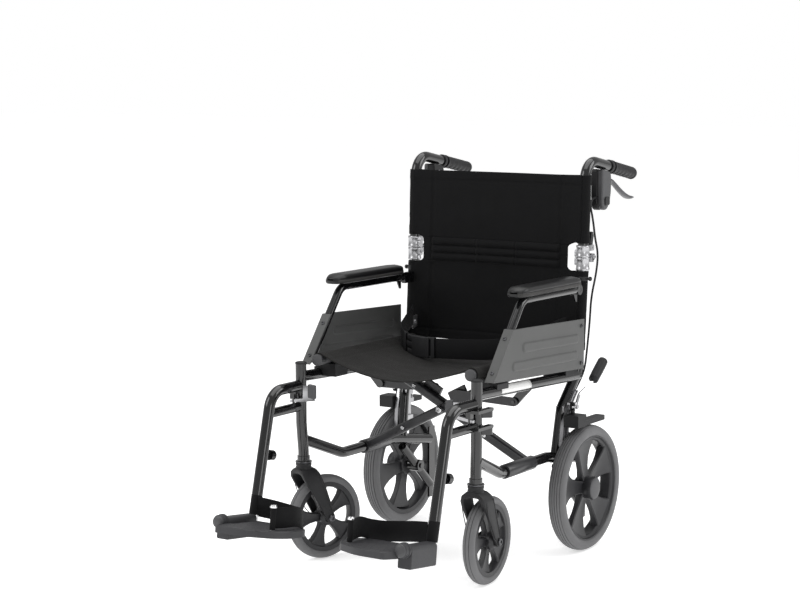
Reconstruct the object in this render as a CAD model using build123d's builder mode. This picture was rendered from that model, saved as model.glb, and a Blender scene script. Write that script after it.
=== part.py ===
from build123d import *
import os
from math import atan2, cos, degrees, radians, sin, tan

os.makedirs("parts", exist_ok=True)

# Attendant-propelled folding wheelchair, millimetres.
# Origin on the floor under the middle of the chair, +X to the user's left,
# +Y to the rear, +Z up. side = 1 is the user's left, side = -1 the right.
SIDES = {"left": 1, "right": -1}

# driving dimensions: frame
frame_x = 237.0          # front post, upper rail, rear post
tube_r = 12.7            # 25.4 mm frame tube
post_y = -196.0
post_top = 469.0
stem = (234.0, -193.0)   # caster stem centre
rail_front_z = 438.0     # upper side rail at the front post
rail_rear_z = 421.0
lower_x = 218.0          # lower rail
lower_z = 238.0
rear_post_y = 268.0      # rear post at seat height
hinge_z = 700.0          # back folding hinge
back_y = 287.0           # back post just under the hinge
gap = 0.3                # clearance between faces of different bodies
fit = 0.08               # running clearance, radial

# driving dimensions: folding cross frame
cross_z = 350.0          # centre bolt
brace_w = 22.0           # square brace tube
brace_y = {"left": 43.0, "right": 65.6}    # plane of the brace that carries that seat rail
sleeve_y = {"left": (-44.0, 82.0), "right": (28.0, 128.0)}
seat_x = 207.0
seat_z = 476.0
seat_front = -173.0
seat_rear = 236.0
link_pivot = (202.0, 387.0)
link_y = {"left": 26.0, "right": 82.6}
link_reach = 60.0        # bolt of the folding link, along the brace above the centre
link_rise = 16.0         # and square to it
link_t = 5.0

# driving dimensions: wheels
axle = (264.0, 151.0)    # rear axle, y and z
wheel_x = 262.0
wheel_r = 151.0
wheel_half = 21.5
rim_r = 127.0
caster_r = 100.0
caster_half = 14.5
caster_rim_r = 83.0
caster_trail = 57.0
caster_turn = {"left": 4.3, "right": -19.0}   # how the casters stand, degrees about +Z

# driving dimensions: back, arms, footrests
handle_corner = (295.0, 930.0)
handle_end = (538.0, 886.0)
hinge_pin_y = 308.0
hinge_r = 16.5            # round body of the back hinge
hinge_low = 669.0
hinge_high = 728.0
knuckle_r = 8.0
release_pin = (316.0, 721.0)
arm_x = 247.5
arm_pivot = (238.0, 628.0)
arm_tube_r = 10.0
hanger_tip = (-367.0, 190.0)
hanger_corner = (-309.0, 418.0)
swing_pin = (257.0, -176.0)
plate_pin = (240.0, 148.0)
plate_y = (-540.0, -396.0)
plate_hinge = Axis((0, -444, 148), (1, 0, 0))
plate_tilt = -7.0        # footplates rise to the front
park_pin = (226.0, 352.0)
cable_r = 2.5
cable_top = (237.0, 358.0, 838.0)
cable_foot = (225.0, 250.0, 331.0)
cable_bow = {"left": 4.0, "right": 14.0}   # how far each cable bows out below the handle


def route(points, bend):
    # straight runs joined by tangent arcs of one radius
    spots = [Vector(*p) for p in points]
    start = spots[0]
    for i in range(1, len(spots) - 1):
        before = (spots[i - 1] - spots[i]).normalized()
        after = (spots[i + 1] - spots[i]).normalized()
        half = radians(before.get_angle(after) / 2)
        inward = (before + after).normalized()
        enter = spots[i] + before * (bend / tan(half))
        leave = spots[i] + after * (bend / tan(half))
        middle = spots[i] + inward * (bend / sin(half) - bend)
        Line(start, enter)
        ThreePointArc(enter, middle, leave)
        start = leave
    Line(start, spots[-1])


def tube(points, bend, radius, mode=Mode.ADD):
    # round tube along a bent centre line
    with BuildLine() as centre:
        route(points, bend)
    with BuildSketch(Plane(centre.line @ 0, z_dir=centre.line % 0)) as section:
        Circle(radius)
    sweep(section.sketch, path=centre.line, mode=mode)


def block(low, high, mode=Mode.ADD):
    size = [abs(b - a) for a, b in zip(low, high)]
    with Locations(Vector(*((a + b) / 2 for a, b in zip(low, high)))):
        Box(*size, mode=mode)


def rod(start, end, radius, mode=Mode.ADD):
    # straight round bar between two points
    a, b = Vector(*start), Vector(*end)
    with Locations(Plane(a, z_dir=b - a)):
        Cylinder(radius, (b - a).length, align=(Align.CENTER, Align.CENTER, Align.MIN), mode=mode)


def strap(start, end, width, thick, centre_y, mode=Mode.ADD):
    # flat bar with round ends in a plane square to Y; start and end are x, z
    (xa, za), (xb, zb) = start, end
    length = ((xb - xa) ** 2 + (zb - za) ** 2) ** 0.5
    with BuildSketch(Plane((0, centre_y + thick / 2, 0), x_dir=(1, 0, 0), z_dir=(0, -1, 0))) as section:
        with Locations(Location(((xa + xb) / 2, (za + zb) / 2), degrees(atan2(zb - za, xb - xa)))):
            SlotCenterToCenter(length, width)
    extrude(section.sketch, amount=thick, mode=mode)


def finish(part, name):
    part.label = name
    export_step(part, f"parts/{name}.step")


def rail_z(y):
    # height of the upper side rail at y
    share = (y - post_y) / (rear_post_y - post_y)
    return rail_front_z + share * (rail_rear_z - rail_front_z)


def back_point(z):
    # y of the back post axis at height z, between seat and hinge
    return rear_post_y + (back_y - rear_post_y) * (z - 430) / (hinge_z - 430)


# side frames
lower_rail = [(frame_x, post_y, 292), (lower_x, -60, lower_z), (lower_x, 150, lower_z), (lower_x, 322, 210)]
rear_post = [(frame_x, back_point(668), 668), (frame_x, rear_post_y, 430), (222, 216, 345), (lower_x, 199, lower_z)]

for name, side in SIDES.items():
    with BuildPart() as side_frame:
        # front post with the caster bearing at its foot
        tube([(side * frame_x, post_y, post_top), (side * frame_x, post_y, 330),
              (side * stem[0], stem[1], 262), (side * stem[0], stem[1], 239)], 60, tube_r)
        rod((side * stem[0], stem[1], 239), (side * stem[0], stem[1], 252), 15)
        # upper rail, lower rail and rear post
        tube([(side * frame_x, post_y, rail_front_z), (side * frame_x, rear_post_y, rail_rear_z)], 0, tube_r)
        tube([(side * x, y, z) for x, y, z in lower_rail], 60, tube_r)
        tube([(side * x, y, z) for x, y, z in rear_post], 45, tube_r)
        # rear triangle: slanted tube through the axle, flat bar behind it
        rod((side * lower_x, 200, 210), (side * lower_x, 326, 93), 11)
        block((side * lower_x - 2.5, 321, 58), (side * lower_x + 2.5, 347, 240))
        rod((side * 204, *axle), (side * 236, *axle), 15)
        rod((side * 201, *axle), (side * 287, *axle), 6)
        # bracket of the folding link, welded under the upper rail
        plate_mid = link_y[name] + side * (link_t + 0.6)
        strap((side * frame_x, rail_z(plate_mid) - 4), (side * link_pivot[0], link_pivot[1]), 20, link_t, plate_mid)
        rod((side * link_pivot[0], link_y[name] - 5, link_pivot[1]),
            (side * link_pivot[0], link_y[name] + 5, link_pivot[1]), 4)
        # knuckles of the swing-away footrest
        for low in (388, 350):
            with BuildSketch(Plane.XY.offset(low)):
                with BuildLine():
                    Polyline((side * frame_x, post_y - 6), (side * (swing_pin[0] + 5), swing_pin[1] - 6),
                             (side * swing_pin[0], swing_pin[1] + 7), (side * (frame_x - 6), post_y + 6), close=True)
                make_face()
                with Locations((side * swing_pin[0], swing_pin[1])):
                    Circle(8)
            extrude(amount=14)
        rod((side * swing_pin[0], swing_pin[1], 345), (side * swing_pin[0], swing_pin[1], 410), 4 + fit, Mode.SUBTRACT)
        # armrest pivot lug on the rear post
        block((side * 227, 228, 615), (side * 237.2, 285, 641))
        rod((side * 230, *arm_pivot), (side * 257, *arm_pivot), 5)
        # blind bore for the caster stem
        rod((side * stem[0], stem[1], 238), (side * stem[0], stem[1], 300), 6 + fit, Mode.SUBTRACT)
    finish(side_frame.part, f"side_frame_{name}")

    with BuildPart() as seat_saddles:
        for low, high in ((-128, -78), (188, 244)):
            block((side * 188, low, rail_z(high) - 2), (side * 249, high, 462))
            block((side * 228, low, 452), (side * 251, high, 463), Mode.SUBTRACT)
        rod((side * seat_x, -180, seat_z), (side * seat_x, 250, seat_z), tube_r + gap, Mode.SUBTRACT)
        tube([(side * frame_x, post_y, rail_front_z), (side * frame_x, rear_post_y, rail_rear_z)], 0,
             tube_r, Mode.SUBTRACT)
    finish(seat_saddles.part, f"seat_saddles_{name}")

    # lower half of the back folding hinge: round body, inner ear, two knuckles and the pin
    with BuildPart() as back_hinge:
        rod((side * frame_x, back_y - 1, hinge_low), (side * frame_x, back_y - 1, hinge_z - gap), hinge_r)
        block((side * 212, 276, hinge_low), (side * 226, 296, hinge_z - gap))
        for a, b in ((219, 229.5), (244.5, 255)):
            block((side * a, 294, 688), (side * b, hinge_pin_y, hinge_z - gap))
            rod((side * a, hinge_pin_y, hinge_z), (side * b, hinge_pin_y, hinge_z), knuckle_r)
        rod((side * 229.5, hinge_pin_y, hinge_z), (side * 244.5, hinge_pin_y, hinge_z), knuckle_r + 1.2, Mode.SUBTRACT)
        tube([(side * x, y, z) for x, y, z in rear_post], 45, tube_r, Mode.SUBTRACT)
        rod((side * 219, hinge_pin_y, hinge_z), (side * 256, hinge_pin_y, hinge_z), 3)
    finish(back_hinge.part, f"back_hinge_{name}")

    # upper half, with the two ears of its release lever behind
    with BuildPart() as hinge_arm:
        rod((side * frame_x, back_y, hinge_z + gap), (side * frame_x, back_y, hinge_high), hinge_r)
        block((side * 212, 276, hinge_z + gap), (side * 226, 296, hinge_high))
        block((side * 230, 296, hinge_z + gap), (side * 244, hinge_pin_y, 712))
        rod((side * 230, hinge_pin_y, hinge_z), (side * 244, hinge_pin_y, hinge_z), knuckle_r)
        rod((side * 215, hinge_pin_y, hinge_z), (side * 260, hinge_pin_y, hinge_z), 3 + fit, Mode.SUBTRACT)
        for a, b in ((218, 230), (244, 256)):
            rod((side * a, hinge_pin_y, hinge_z), (side * b, hinge_pin_y, hinge_z), knuckle_r + 1.2, Mode.SUBTRACT)
        for a in (225.4, 243.6):
            block((side * a, 296, 714), (side * (a + 5), 322, hinge_high))
        rod((side * 226, *release_pin), (side * 248, *release_pin), 2.5)
    finish(hinge_arm.part, f"hinge_arm_{name}")

    # release lever of the back hinge, standing up behind the post
    with BuildPart() as back_lever:
        with BuildSketch(Plane((side * frame_x, 0, 0), x_dir=(0, 1, 0), z_dir=(1, 0, 0))):
            with BuildLine():
                Polyline((310.5, 714), (322, 713.5), (326.5, 735), (330, 748), (326, 758), (318, 757), (316, 744),
                         (310, 728), close=True)
            make_face()
            with Locations(release_pin):
                Circle(2.5 + fit, mode=Mode.SUBTRACT)
        extrude(amount=6, both=True)
    finish(back_lever.part, f"back_lever_{name}")

    with BuildPart() as back_tube:
        tube([(side * frame_x, back_y, 706), (side * frame_x, *handle_corner),
              (side * frame_x, *handle_end)], 42, tube_r)
    finish(back_tube.part, f"back_tube_{name}")

# push handles
slope = Vector(0, handle_end[0] - handle_corner[0], handle_end[1] - handle_corner[1]).normalized()


def on_handle(y, drop=0.0):
    # point on the handle axis at y, or that far below it
    share = (y - handle_corner[0]) / (handle_end[0] - handle_corner[0])
    return (y, handle_corner[1] + share * (handle_end[1] - handle_corner[1]) - drop)


for name, side in SIDES.items():
    with BuildPart() as grip:
        rod((side * frame_x, *on_handle(423)), (side * frame_x, *on_handle(541)), 16.5)
        fillet(grip.edges().filter_by(GeomType.CIRCLE), 3)
        rod((side * frame_x, *on_handle(410)), (side * frame_x, *handle_end), tube_r, Mode.SUBTRACT)
    finish(grip.part, f"grip_{name}")

    # clamp and housing of the attendant brake lever
    with BuildPart() as brake_clamp:
        rod((side * frame_x, *on_handle(368)), (side * frame_x, *on_handle(392)), 18)
        block((side * 229, 362, 822), (side * 233.6, 396, 900))
        block((side * 240.4, 362, 822), (side * 245, 396, 900))
        block((side * 229, 362, 852), (side * 245, 372, 900))
        rod((side * 229, 384, 834), (side * 245, 384, 834), 3)
        rod((side * frame_x, cable_top[1], cable_top[2]), (side * frame_x, 372, cable_top[2]), 4.4)
        rod((side * frame_x, *on_handle(350)), (side * frame_x, *on_handle(410)), tube_r, Mode.SUBTRACT)
    finish(brake_clamp.part, f"brake_clamp_{name}")

    with BuildPart() as brake_lever:
        with BuildSketch(Plane((side * frame_x, 0, 0), x_dir=(0, 1, 0), z_dir=(1, 0, 0))):
            with BuildLine():
                Polyline((374.5, 824), (374.5, 842), (392, 848), (420, 846), (470, 834), (514, 834), (514, 824),
                         (468, 823), (420, 832), (394, 824), close=True)
            make_face()
            with Locations((384, 834)):
                Circle(3 + fit, mode=Mode.SUBTRACT)
        extrude(amount=3.1, both=True)
    finish(brake_lever.part, f"brake_lever_{name}")

# armrests
leg_low = (-142.0, 471.0)
leg_top = (-20.0, arm_pivot[1] + 1)
panel_rear = [(256, 558), (255, 440)]
panel_low, panel_high = 461.0, 570.0
lean = Vector(0, leg_top[0] - leg_low[0], leg_top[1] - leg_low[1]).normalized()
ahead = Vector(0, -lean.Z, lean.Y)


def panel_front(z):
    # y of the guard's front edge at height z: just ahead of the sloping arm leg
    edge = Vector(0, *leg_low) + ahead * (arm_tube_r + 0.2)
    return edge.Y + (z - edge.Z) * lean.Y / lean.Z


for name, side in SIDES.items():
    with BuildPart() as arm_frame:
        rod((side * 237.5, *arm_pivot), (side * 257.5, *arm_pivot), 12)
        tube([(side * arm_x, arm_pivot[0] - 6, arm_pivot[1] + 0.5), (side * arm_x, *leg_top),
              (side * arm_x, *leg_low)], 40, arm_tube_r)
        rod((side * 236, *arm_pivot), (side * 259, *arm_pivot), 5 + fit, Mode.SUBTRACT)
    finish(arm_frame.part, f"arm_frame_{name}")

    with BuildPart() as arm_pad:
        with BuildSketch(Plane.XY.offset(arm_pivot[1] + 1 + arm_tube_r)):
            with BuildLine():
                Polyline((side * 229, 224), (side * 266, 224), (side * 273, 190), (side * 273, -30),
                         (side * 262, -59), (side * 234, -59), (side * 222, -30), (side * 222, 190), close=True)
            make_face()
        extrude(amount=22)
        fillet(arm_pad.faces().sort_by(Axis.Z)[-1].edges(), 9)
    finish(arm_pad.part, f"arm_pad_{name}")

    # skirt guard: sheet outside the arm tube, folded round its front leg
    with BuildPart() as side_panel:
        with BuildSketch(Plane((side * (arm_x + arm_tube_r), 0, 0), x_dir=(0, side, 0), z_dir=(side, 0, 0))):
            with BuildLine():
                outline = [(panel_front(panel_high), panel_high), *panel_rear, (panel_front(panel_low), panel_low)]
                Polyline([(side * y, z) for y, z in outline], close=True)
            make_face()
        extrude(amount=2.5)
        middle = (panel_low + panel_high) / 2
        fold = Vector(side * (arm_x + 0.25), panel_front(middle), middle)
        with BuildSketch(Plane(fold, x_dir=lean, z_dir=ahead)):
            Rectangle((panel_high - panel_low) / lean.Z, 24.5)
        extrude(amount=2.5)
    finish(side_panel.part, f"side_panel_{name}")

# folding cross frame
brace_len = (lower_x ** 2 + (cross_z - lower_z) ** 2) ** 0.5
brace_angle = atan2(cross_z - lower_z, lower_x)

for name, side in SIDES.items():
    # the brace that carries this side's seat rail starts at the other side's lower rail
    mid_y = brace_y[name]
    low_y, high_y = sleeve_y["right" if side == 1 else "left"]
    along = Vector(side * cos(brace_angle), 0, sin(brace_angle))
    across = Vector(-side * sin(brace_angle), 0, cos(brace_angle))
    pivot = Vector(-side * lower_x, 0, lower_z)
    with BuildPart() as brace:
        with BuildSketch(Plane(pivot + Vector(0, mid_y, 0) + along * 12, x_dir=(0, 1, 0), z_dir=along)):
            RectangleRounded(brace_w, brace_w, 5)
        extrude(amount=brace_len * (1 + seat_x / lower_x) - 16)
        rod((pivot.X, low_y, lower_z), (pivot.X, high_y, lower_z), 16.5)
        # riser and seat rail
        top = cross_z + seat_x * tan(brace_angle)
        block((side * (seat_x - 11), mid_y - 11, top - 6), (side * (seat_x + 3), mid_y + 11, seat_z - 4))
        rod((side * seat_x, seat_front, seat_z), (side * seat_x, seat_rear, seat_z), tube_r)
        # ear for the folding link
        ear = Vector(0, 0, cross_z) + along * link_reach + across * link_rise
        with Locations(Plane((ear.X, mid_y - 7 * side, ear.Z), x_dir=along, z_dir=(0, 1, 0))):
            Box(48, 24, 8)
        rod((pivot.X, low_y - 1, lower_z), (pivot.X, high_y + 1, lower_z), tube_r + fit, Mode.SUBTRACT)
        if side == 1:
            rod((0, mid_y - 16, cross_z), (0, brace_y["right"] + 11, cross_z), 5)
            rod((0, mid_y - 18, cross_z), (0, mid_y - 10, cross_z), 9)
        else:
            rod((0, mid_y - 20, cross_z), (0, mid_y + 20, cross_z), 5 + fit, Mode.SUBTRACT)
    finish(brace.part, f"brace_{name}")

    with BuildPart() as fold_link:
        far = (ear.X, ear.Z)
        strap((side * link_pivot[0], link_pivot[1]), far, 20, link_t, link_y[name])
        rod((side * link_pivot[0], link_y[name] - 10, link_pivot[1]),
            (side * link_pivot[0], link_y[name] + 10, link_pivot[1]), 4 + fit, Mode.SUBTRACT)
    finish(fold_link.part, f"fold_link_{name}")

# rear wheels
# both wheels are turned about Z at the origin, outer face up, then placed
spokes = 5
with BuildPart() as wheel_blank:
    with BuildSketch(Plane.XZ):
        with Locations((119, -2)):
            Rectangle(16, 34)
        with BuildLine():
            Polyline((6.1, -20), (26, -20), (28, 28), (6.1, 28), close=True)
        make_face()
    revolve(axis=Axis.Z)
    for i in range(spokes):
        turn = 100 + i * 360 / spokes
        out = Vector(cos(radians(turn)), sin(radians(turn)), 0)
        with BuildSketch(Plane(out * 22 + Vector(0, 0, -6), x_dir=(-out.Y, out.X, 0), z_dir=out)):
            Rectangle(26, 16)
        with BuildSketch(Plane(out * 114 + Vector(0, 0, 2), x_dir=(-out.Y, out.X, 0), z_dir=out)):
            Rectangle(58, 24)
        loft()

with BuildPart() as tyre_blank:
    with BuildSketch(Plane.XZ):
        with BuildLine():
            Line((rim_r, -wheel_half + 3), (rim_r, wheel_half - 3))
            Spline((rim_r, wheel_half - 3), (143, wheel_half - 1), (wheel_r, 0), (143, -wheel_half + 1),
                   (rim_r, -wheel_half + 3))
        make_face()
    revolve(axis=Axis.Z)

with BuildPart() as caster_blank:
    with BuildSketch(Plane.XZ):
        with Locations((77, 0)):
            Rectangle(12, 22)
        with Locations((12.05, 0)):
            Rectangle(15.9, 44)
    revolve(axis=Axis.Z)
    for i in range(spokes):
        turn = 250 + i * 360 / spokes
        out = Vector(cos(radians(turn)), sin(radians(turn)), 0)
        with BuildSketch(Plane(out * 16, x_dir=(-out.Y, out.X, 0), z_dir=out)):
            Rectangle(15, 14)
        with BuildSketch(Plane(out * 74, x_dir=(-out.Y, out.X, 0), z_dir=out)):
            Rectangle(34, 16)
        loft()

with BuildPart() as caster_tyre_blank:
    with BuildSketch(Plane.XZ):
        with BuildLine():
            Line((caster_rim_r, -caster_half + 2), (caster_rim_r, caster_half - 2))
            Spline((caster_rim_r, caster_half - 2), (93, caster_half - 1), (caster_r, 0), (93, -caster_half + 1),
                   (caster_rim_r, -caster_half + 2))
        make_face()
    revolve(axis=Axis.Z)

# caster fork about its stem, wheel trailing towards +Y
leg_in, leg_out = 23.0, 31.0
with BuildPart() as fork_blank:
    with Locations((0, 0, 221)):
        Cylinder(18.5, 34)
    with Locations((0, 4, 208)):
        Box(2 * leg_out, 46, 14)
    for x in (-leg_out, leg_in):
        with BuildSketch(Plane((x, 0, 0), x_dir=(0, 1, 0), z_dir=(1, 0, 0))):
            with BuildLine():
                Polyline((-19, 215), (27, 215), (36, 190), (69, 103), (caster_trail + 4, 90),
                         (caster_trail - 8, 92), (-17, 190), close=True)
            make_face()
        extrude(amount=leg_out - leg_in)
    with Locations((0, 0, 262)):
        Cylinder(6, 70)
    with Locations((0, caster_trail, caster_r)):
        Cylinder(4, 70, rotation=(0, 90, 0))

for name, side in SIDES.items():
    outward = Plane((side * wheel_x, *axle), x_dir=(0, 1, 0), z_dir=(side, 0, 0))
    with BuildPart() as rear_wheel:
        with Locations(outward):
            add(wheel_blank.part)
    finish(rear_wheel.part, f"rear_wheel_{name}")
    with BuildPart() as rear_tyre:
        with Locations(outward):
            add(tyre_blank.part)
    finish(rear_tyre.part, f"rear_tyre_{name}")

    turned = caster_turn[name]
    heading = Vector(0, 1, 0).rotate(Axis.Z, turned)
    sideways = Vector(1, 0, 0).rotate(Axis.Z, turned)
    hub = Vector(side * stem[0], stem[1], caster_r) + heading * caster_trail
    with BuildPart() as caster_fork:
        with Locations(Location((side * stem[0], stem[1], 0), (0, 0, turned))):
            add(fork_blank.part)
    finish(caster_fork.part, f"caster_fork_{name}")
    with BuildPart() as caster_wheel:
        with Locations(Plane(hub, x_dir=heading, z_dir=sideways)):
            add(caster_blank.part)
    finish(caster_wheel.part, f"caster_wheel_{name}")
    with BuildPart() as caster_tyre:
        with Locations(Plane(hub, x_dir=heading, z_dir=sideways)):
            add(caster_tyre_blank.part)
    finish(caster_tyre.part, f"caster_tyre_{name}")

# footrests
down = Vector(0, hanger_tip[0] - hanger_corner[0], hanger_tip[1] - hanger_corner[1]).normalized()

for name, side in SIDES.items():
    x = side * frame_x
    tip = Vector(x, *hanger_tip)
    with BuildPart() as hanger:
        arm_end = post_y - tube_r - 1
        tube([(x, arm_end, 418), (x, *hanger_corner), (x, *hanger_tip)], 48, tube_r)
        rod((x, arm_end, 369), (x, -320, 369), 11)
        # hinge plates round the outside of the post, with their pins
        for low in (402 + gap, 364 + gap):
            block((side * 226, post_y - 36, low), (side * 264, arm_end, low + 7))
            block((side * 250.3, arm_end - 1, low), (side * 264, swing_pin[1] + 8, low + 7))
            rod((side * swing_pin[0], swing_pin[1], low - 14), (side * swing_pin[0], swing_pin[1], low + 1), 4)
        # lug of the release lever, clamp knob behind the tube
        block((side * 231, -232, 390.5), (side * 243, -219, 408))
        rod((side * 237, -225.5, 378), (side * 237, -225.5, 392), 3)
        knob = tip - down * 92
        rod(knob, knob + Vector(0, 30, -6), 4)
        rod(knob + Vector(0, 22, -4.4), knob + Vector(0, 36, -7.2), 12)
        rod(tip + down, tip - down * 130, 9.6 + fit, Mode.SUBTRACT)
    finish(hanger.part, f"hanger_{name}")

    with BuildPart() as swing_lever:
        with BuildSketch(Plane((0, -223.5, 0), x_dir=(1, 0, 0), z_dir=(0, 1, 0))):
            with BuildLine():
                Polyline((side * 246, -381), (side * 246, -387), (side * 184, -398), (side * 180, -390), close=True)
            make_face()
        extrude(amount=4, both=True)
        with Locations((side * 200, -223.5, 406)):
            Box(20, 6, 34)
        rod((side * 237, -225.5, 376), (side * 237, -225.5, 394), 3 + fit, Mode.SUBTRACT)
    finish(swing_lever.part, f"swing_lever_{name}")

    with BuildPart() as plate_joint:
        block((side * 223, -486, 108), (side * 257, -384, 158))
        rod((side * plate_pin[0], -500, plate_pin[1]), (side * plate_pin[0], -440, plate_pin[1]), 6)
    with BuildPart() as foot_tube:
        rod(tip - down * 120, tip + down * 62, 9.6)
        add(plate_joint.part.rotate(plate_hinge, plate_tilt))
    finish(foot_tube.part, f"foot_tube_{name}")

    with BuildPart() as footplate:
        rod((side * plate_pin[0], -504, plate_pin[1]), (side * plate_pin[0], -486 - gap, plate_pin[1]), 17)
        with BuildSketch(Plane.XY.offset(126)):
            with BuildLine():
                Polyline((side * 216, plate_y[1]), (side * 216, -486.5), (side * 234, -486.5), (side * 234, -502),
                         (side * 222, plate_y[0]), (side * 150, plate_y[0] + 2), (side * 88, -504), (side * 66, -470),
                         (side * 66, plate_y[1] - 20), (side * 84, plate_y[1]), close=True)
            make_face()
        extrude(amount=20)
        rod((side * 102, -490, 140), (side * 102, -490, 199), 3)
        rod((side * plate_pin[0], -501, plate_pin[1]), (side * plate_pin[0], -440, plate_pin[1]), 6 + fit,
            Mode.SUBTRACT)
    finish(footplate.part.rotate(plate_hinge, plate_tilt), f"footplate_{name}")

    # heel loop webbing, bowed to the rear between a sleeve on the tube and the stud on the plate
    with BuildPart() as heel_loop:
        with BuildSketch(Plane.XY.offset(153)):
            with BuildLine() as web:
                Spline((side * 224, -372), (side * 150, -366), (side * 100, -384), (side * 90, -430),
                       (side * 108.5, -482))
            trace(web.line, 3)
        extrude(amount=43)
    finish(heel_loop.part, f"heel_loop_{name}")

# parking brakes
for name, side in SIDES.items():
    with BuildPart() as park_bracket:
        block((side * 218, 226, 264), (side * 231, 239, 364))
        for low in (272, 338):
            block((side * 212, 208, low), (side * 233, 240, low + 14))
        block((side * 228, 219, 344), (side * 244, 233, 360))
        # stop of the brake cable
        block((side * 219, 236, 314), (side * 231, 254, 326))
        rod((side * cable_foot[0], cable_foot[1], 316), (side * cable_foot[0], cable_foot[1], cable_foot[2]), 4.5)
        rod((side * 240, *park_pin), (side * 262, *park_pin), 5)
        tube([(side * px, py, pz) for px, py, pz in rear_post], 45, tube_r, Mode.SUBTRACT)
    finish(park_bracket.part, f"park_bracket_{name}")

    with BuildPart() as park_shoe:
        rod((side * 244.3, *park_pin), (side * 251, *park_pin), 10)
        block((side * 244.5, 220, 316), (side * 250.5, 232, 350))
        block((side * 242, 192, 306), (side * 281, 233, 335))
        block((side * 250, 232, 305), (side * 274, 340, 317))
        rod((side * 240, *park_pin), (side * 262, *park_pin), 5 + fit, Mode.SUBTRACT)
        rod((side * 230, *axle), (side * 290, *axle), wheel_r + 3, Mode.SUBTRACT)
    finish(park_shoe.part, f"park_shoe_{name}")

    with BuildPart() as park_lever:
        rod((side * 251.4, *park_pin), (side * 258, *park_pin), 10)
        tube([(side * 255.8, *park_pin), (side * 256, 242, 378), (side * 261, 300, 404), (side * 261, 340, 436)],
             14, 4)
        rod((side * 261, 303, 406.5), (side * 261, 350, 444), 11.5)
        rod((side * 240, *park_pin), (side * 262, *park_pin), 5 + fit, Mode.SUBTRACT)
    finish(park_lever.part, f"park_lever_{name}")

# soft goods
sling_drop = 26.0
sling_half = 192.0


with BuildPart() as seat_sling:
    with BuildSketch(Plane((0, seat_front + 6, 0), x_dir=(1, 0, 0), z_dir=(0, -1, 0))):
        with BuildLine():
            under = seat_z - 6
            over = under + 3
            ThreePointArc((-sling_half, over), (0, over - sling_drop), (sling_half, over))
            Line((sling_half, over), (sling_half, under))
            ThreePointArc((sling_half, under), (0, under - sling_drop), (-sling_half, under))
            Line((-sling_half, under), (-sling_half, over))
        make_face()
    extrude(amount=seat_front - seat_rear + 12)
finish(seat_sling.part, "seat_sling")

# lap belt standing on its edge in front of the back, low in the middle
belt_half = [(0, 92), (60, 92), (130, 103), (172, 132), (190, 180), (212, 240)]
belt_plan = [(-x, y) for x, y in reversed(belt_half[1:])] + belt_half
belt_width = 50.0
with BuildPart() as lap_belt:
    with BuildSketch(Plane.XY.offset(440)):
        with BuildLine() as web:
            Spline(*belt_plan)
        trace(web.line, 2.5)
    extrude(amount=120)
    with BuildSketch(Plane((0, 300, 0), x_dir=(1, 0, 0), z_dir=(0, -1, 0))):
        with BuildLine():
            ThreePointArc((-215, 494), (0, 456), (215, 494))
            Line((215, 494), (215, 494 + belt_width))
            ThreePointArc((215, 494 + belt_width), (0, 456 + belt_width), (-215, 494 + belt_width))
            Line((-215, 494 + belt_width), (-215, 494))
        make_face()
    extrude(amount=300, mode=Mode.INTERSECT)
finish(lap_belt.part, "lap_belt")

with BuildPart() as back_lower:
    block((-221, 264, 480), (221, 268, hinge_z - 32))
finish(back_lower.part, "back_lower")

with BuildPart() as back_upper:
    block((-221, 268, 731), (221, 272, 893))
finish(back_upper.part, "back_upper")

# brake cables


def cable_points(bow):
    # from the gland under the handle, outside the back post, to the stop on the brake bracket
    return [cable_top, (237, 331, 838), (242 + bow * 0.4, 308, 821), (250 + bow, 304, 787),
            (253 + bow * 0.6, 312, 745), (261, 319, 706), (260, 312, 660), (253.5, 300, 604), (254, 294, 545),
            (251, 288, 482), (248, 284, 434), (238, 271, 398), (225, 250, 360), cable_foot]


def cable(points, side):
    # tube whose every bend is as large as its two runs allow
    spots = [Vector(side * x, y, z) for x, y, z in points]
    with BuildLine() as centre:
        start = spots[0]
        for i in range(1, len(spots) - 1):
            back, on = spots[i - 1] - spots[i], spots[i + 1] - spots[i]
            reach = 0.45 * min(back.length, on.length)
            half = radians(back.get_angle(on) / 2)
            enter = spots[i] + back.normalized() * reach
            leave = spots[i] + on.normalized() * reach
            bend = reach * tan(half)
            inward = (back.normalized() + on.normalized()).normalized()
            middle = spots[i] + inward * (bend / sin(half) - bend)
            print(f"cable bend {bend:.0f} mm")
            Line(start, enter)
            ThreePointArc(enter, middle, leave)
            start = leave
        Line(start, spots[-1])
    with BuildSketch(Plane(centre.line @ 0, z_dir=centre.line % 0)) as section:
        Circle(cable_r)
    sweep(section.sketch, path=centre.line)
    length = centre.wire().length
    print(f"cable length {length:.0f} mm")
    return length


for name, side in SIDES.items():
    with BuildPart() as brake_cable:
        length = cable(cable_points(cable_bow[name]), side)
    print(f"cable volume {brake_cable.part.volume:.0f}, section times length {3.14159 * cable_r ** 2 * length:.0f}")
    finish(brake_cable.part, f"brake_cable_{name}")
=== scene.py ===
from math import atan2, cos, hypot, pi, radians, sin

import bmesh
import bpy
from mathutils import Matrix, Vector, noise


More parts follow.
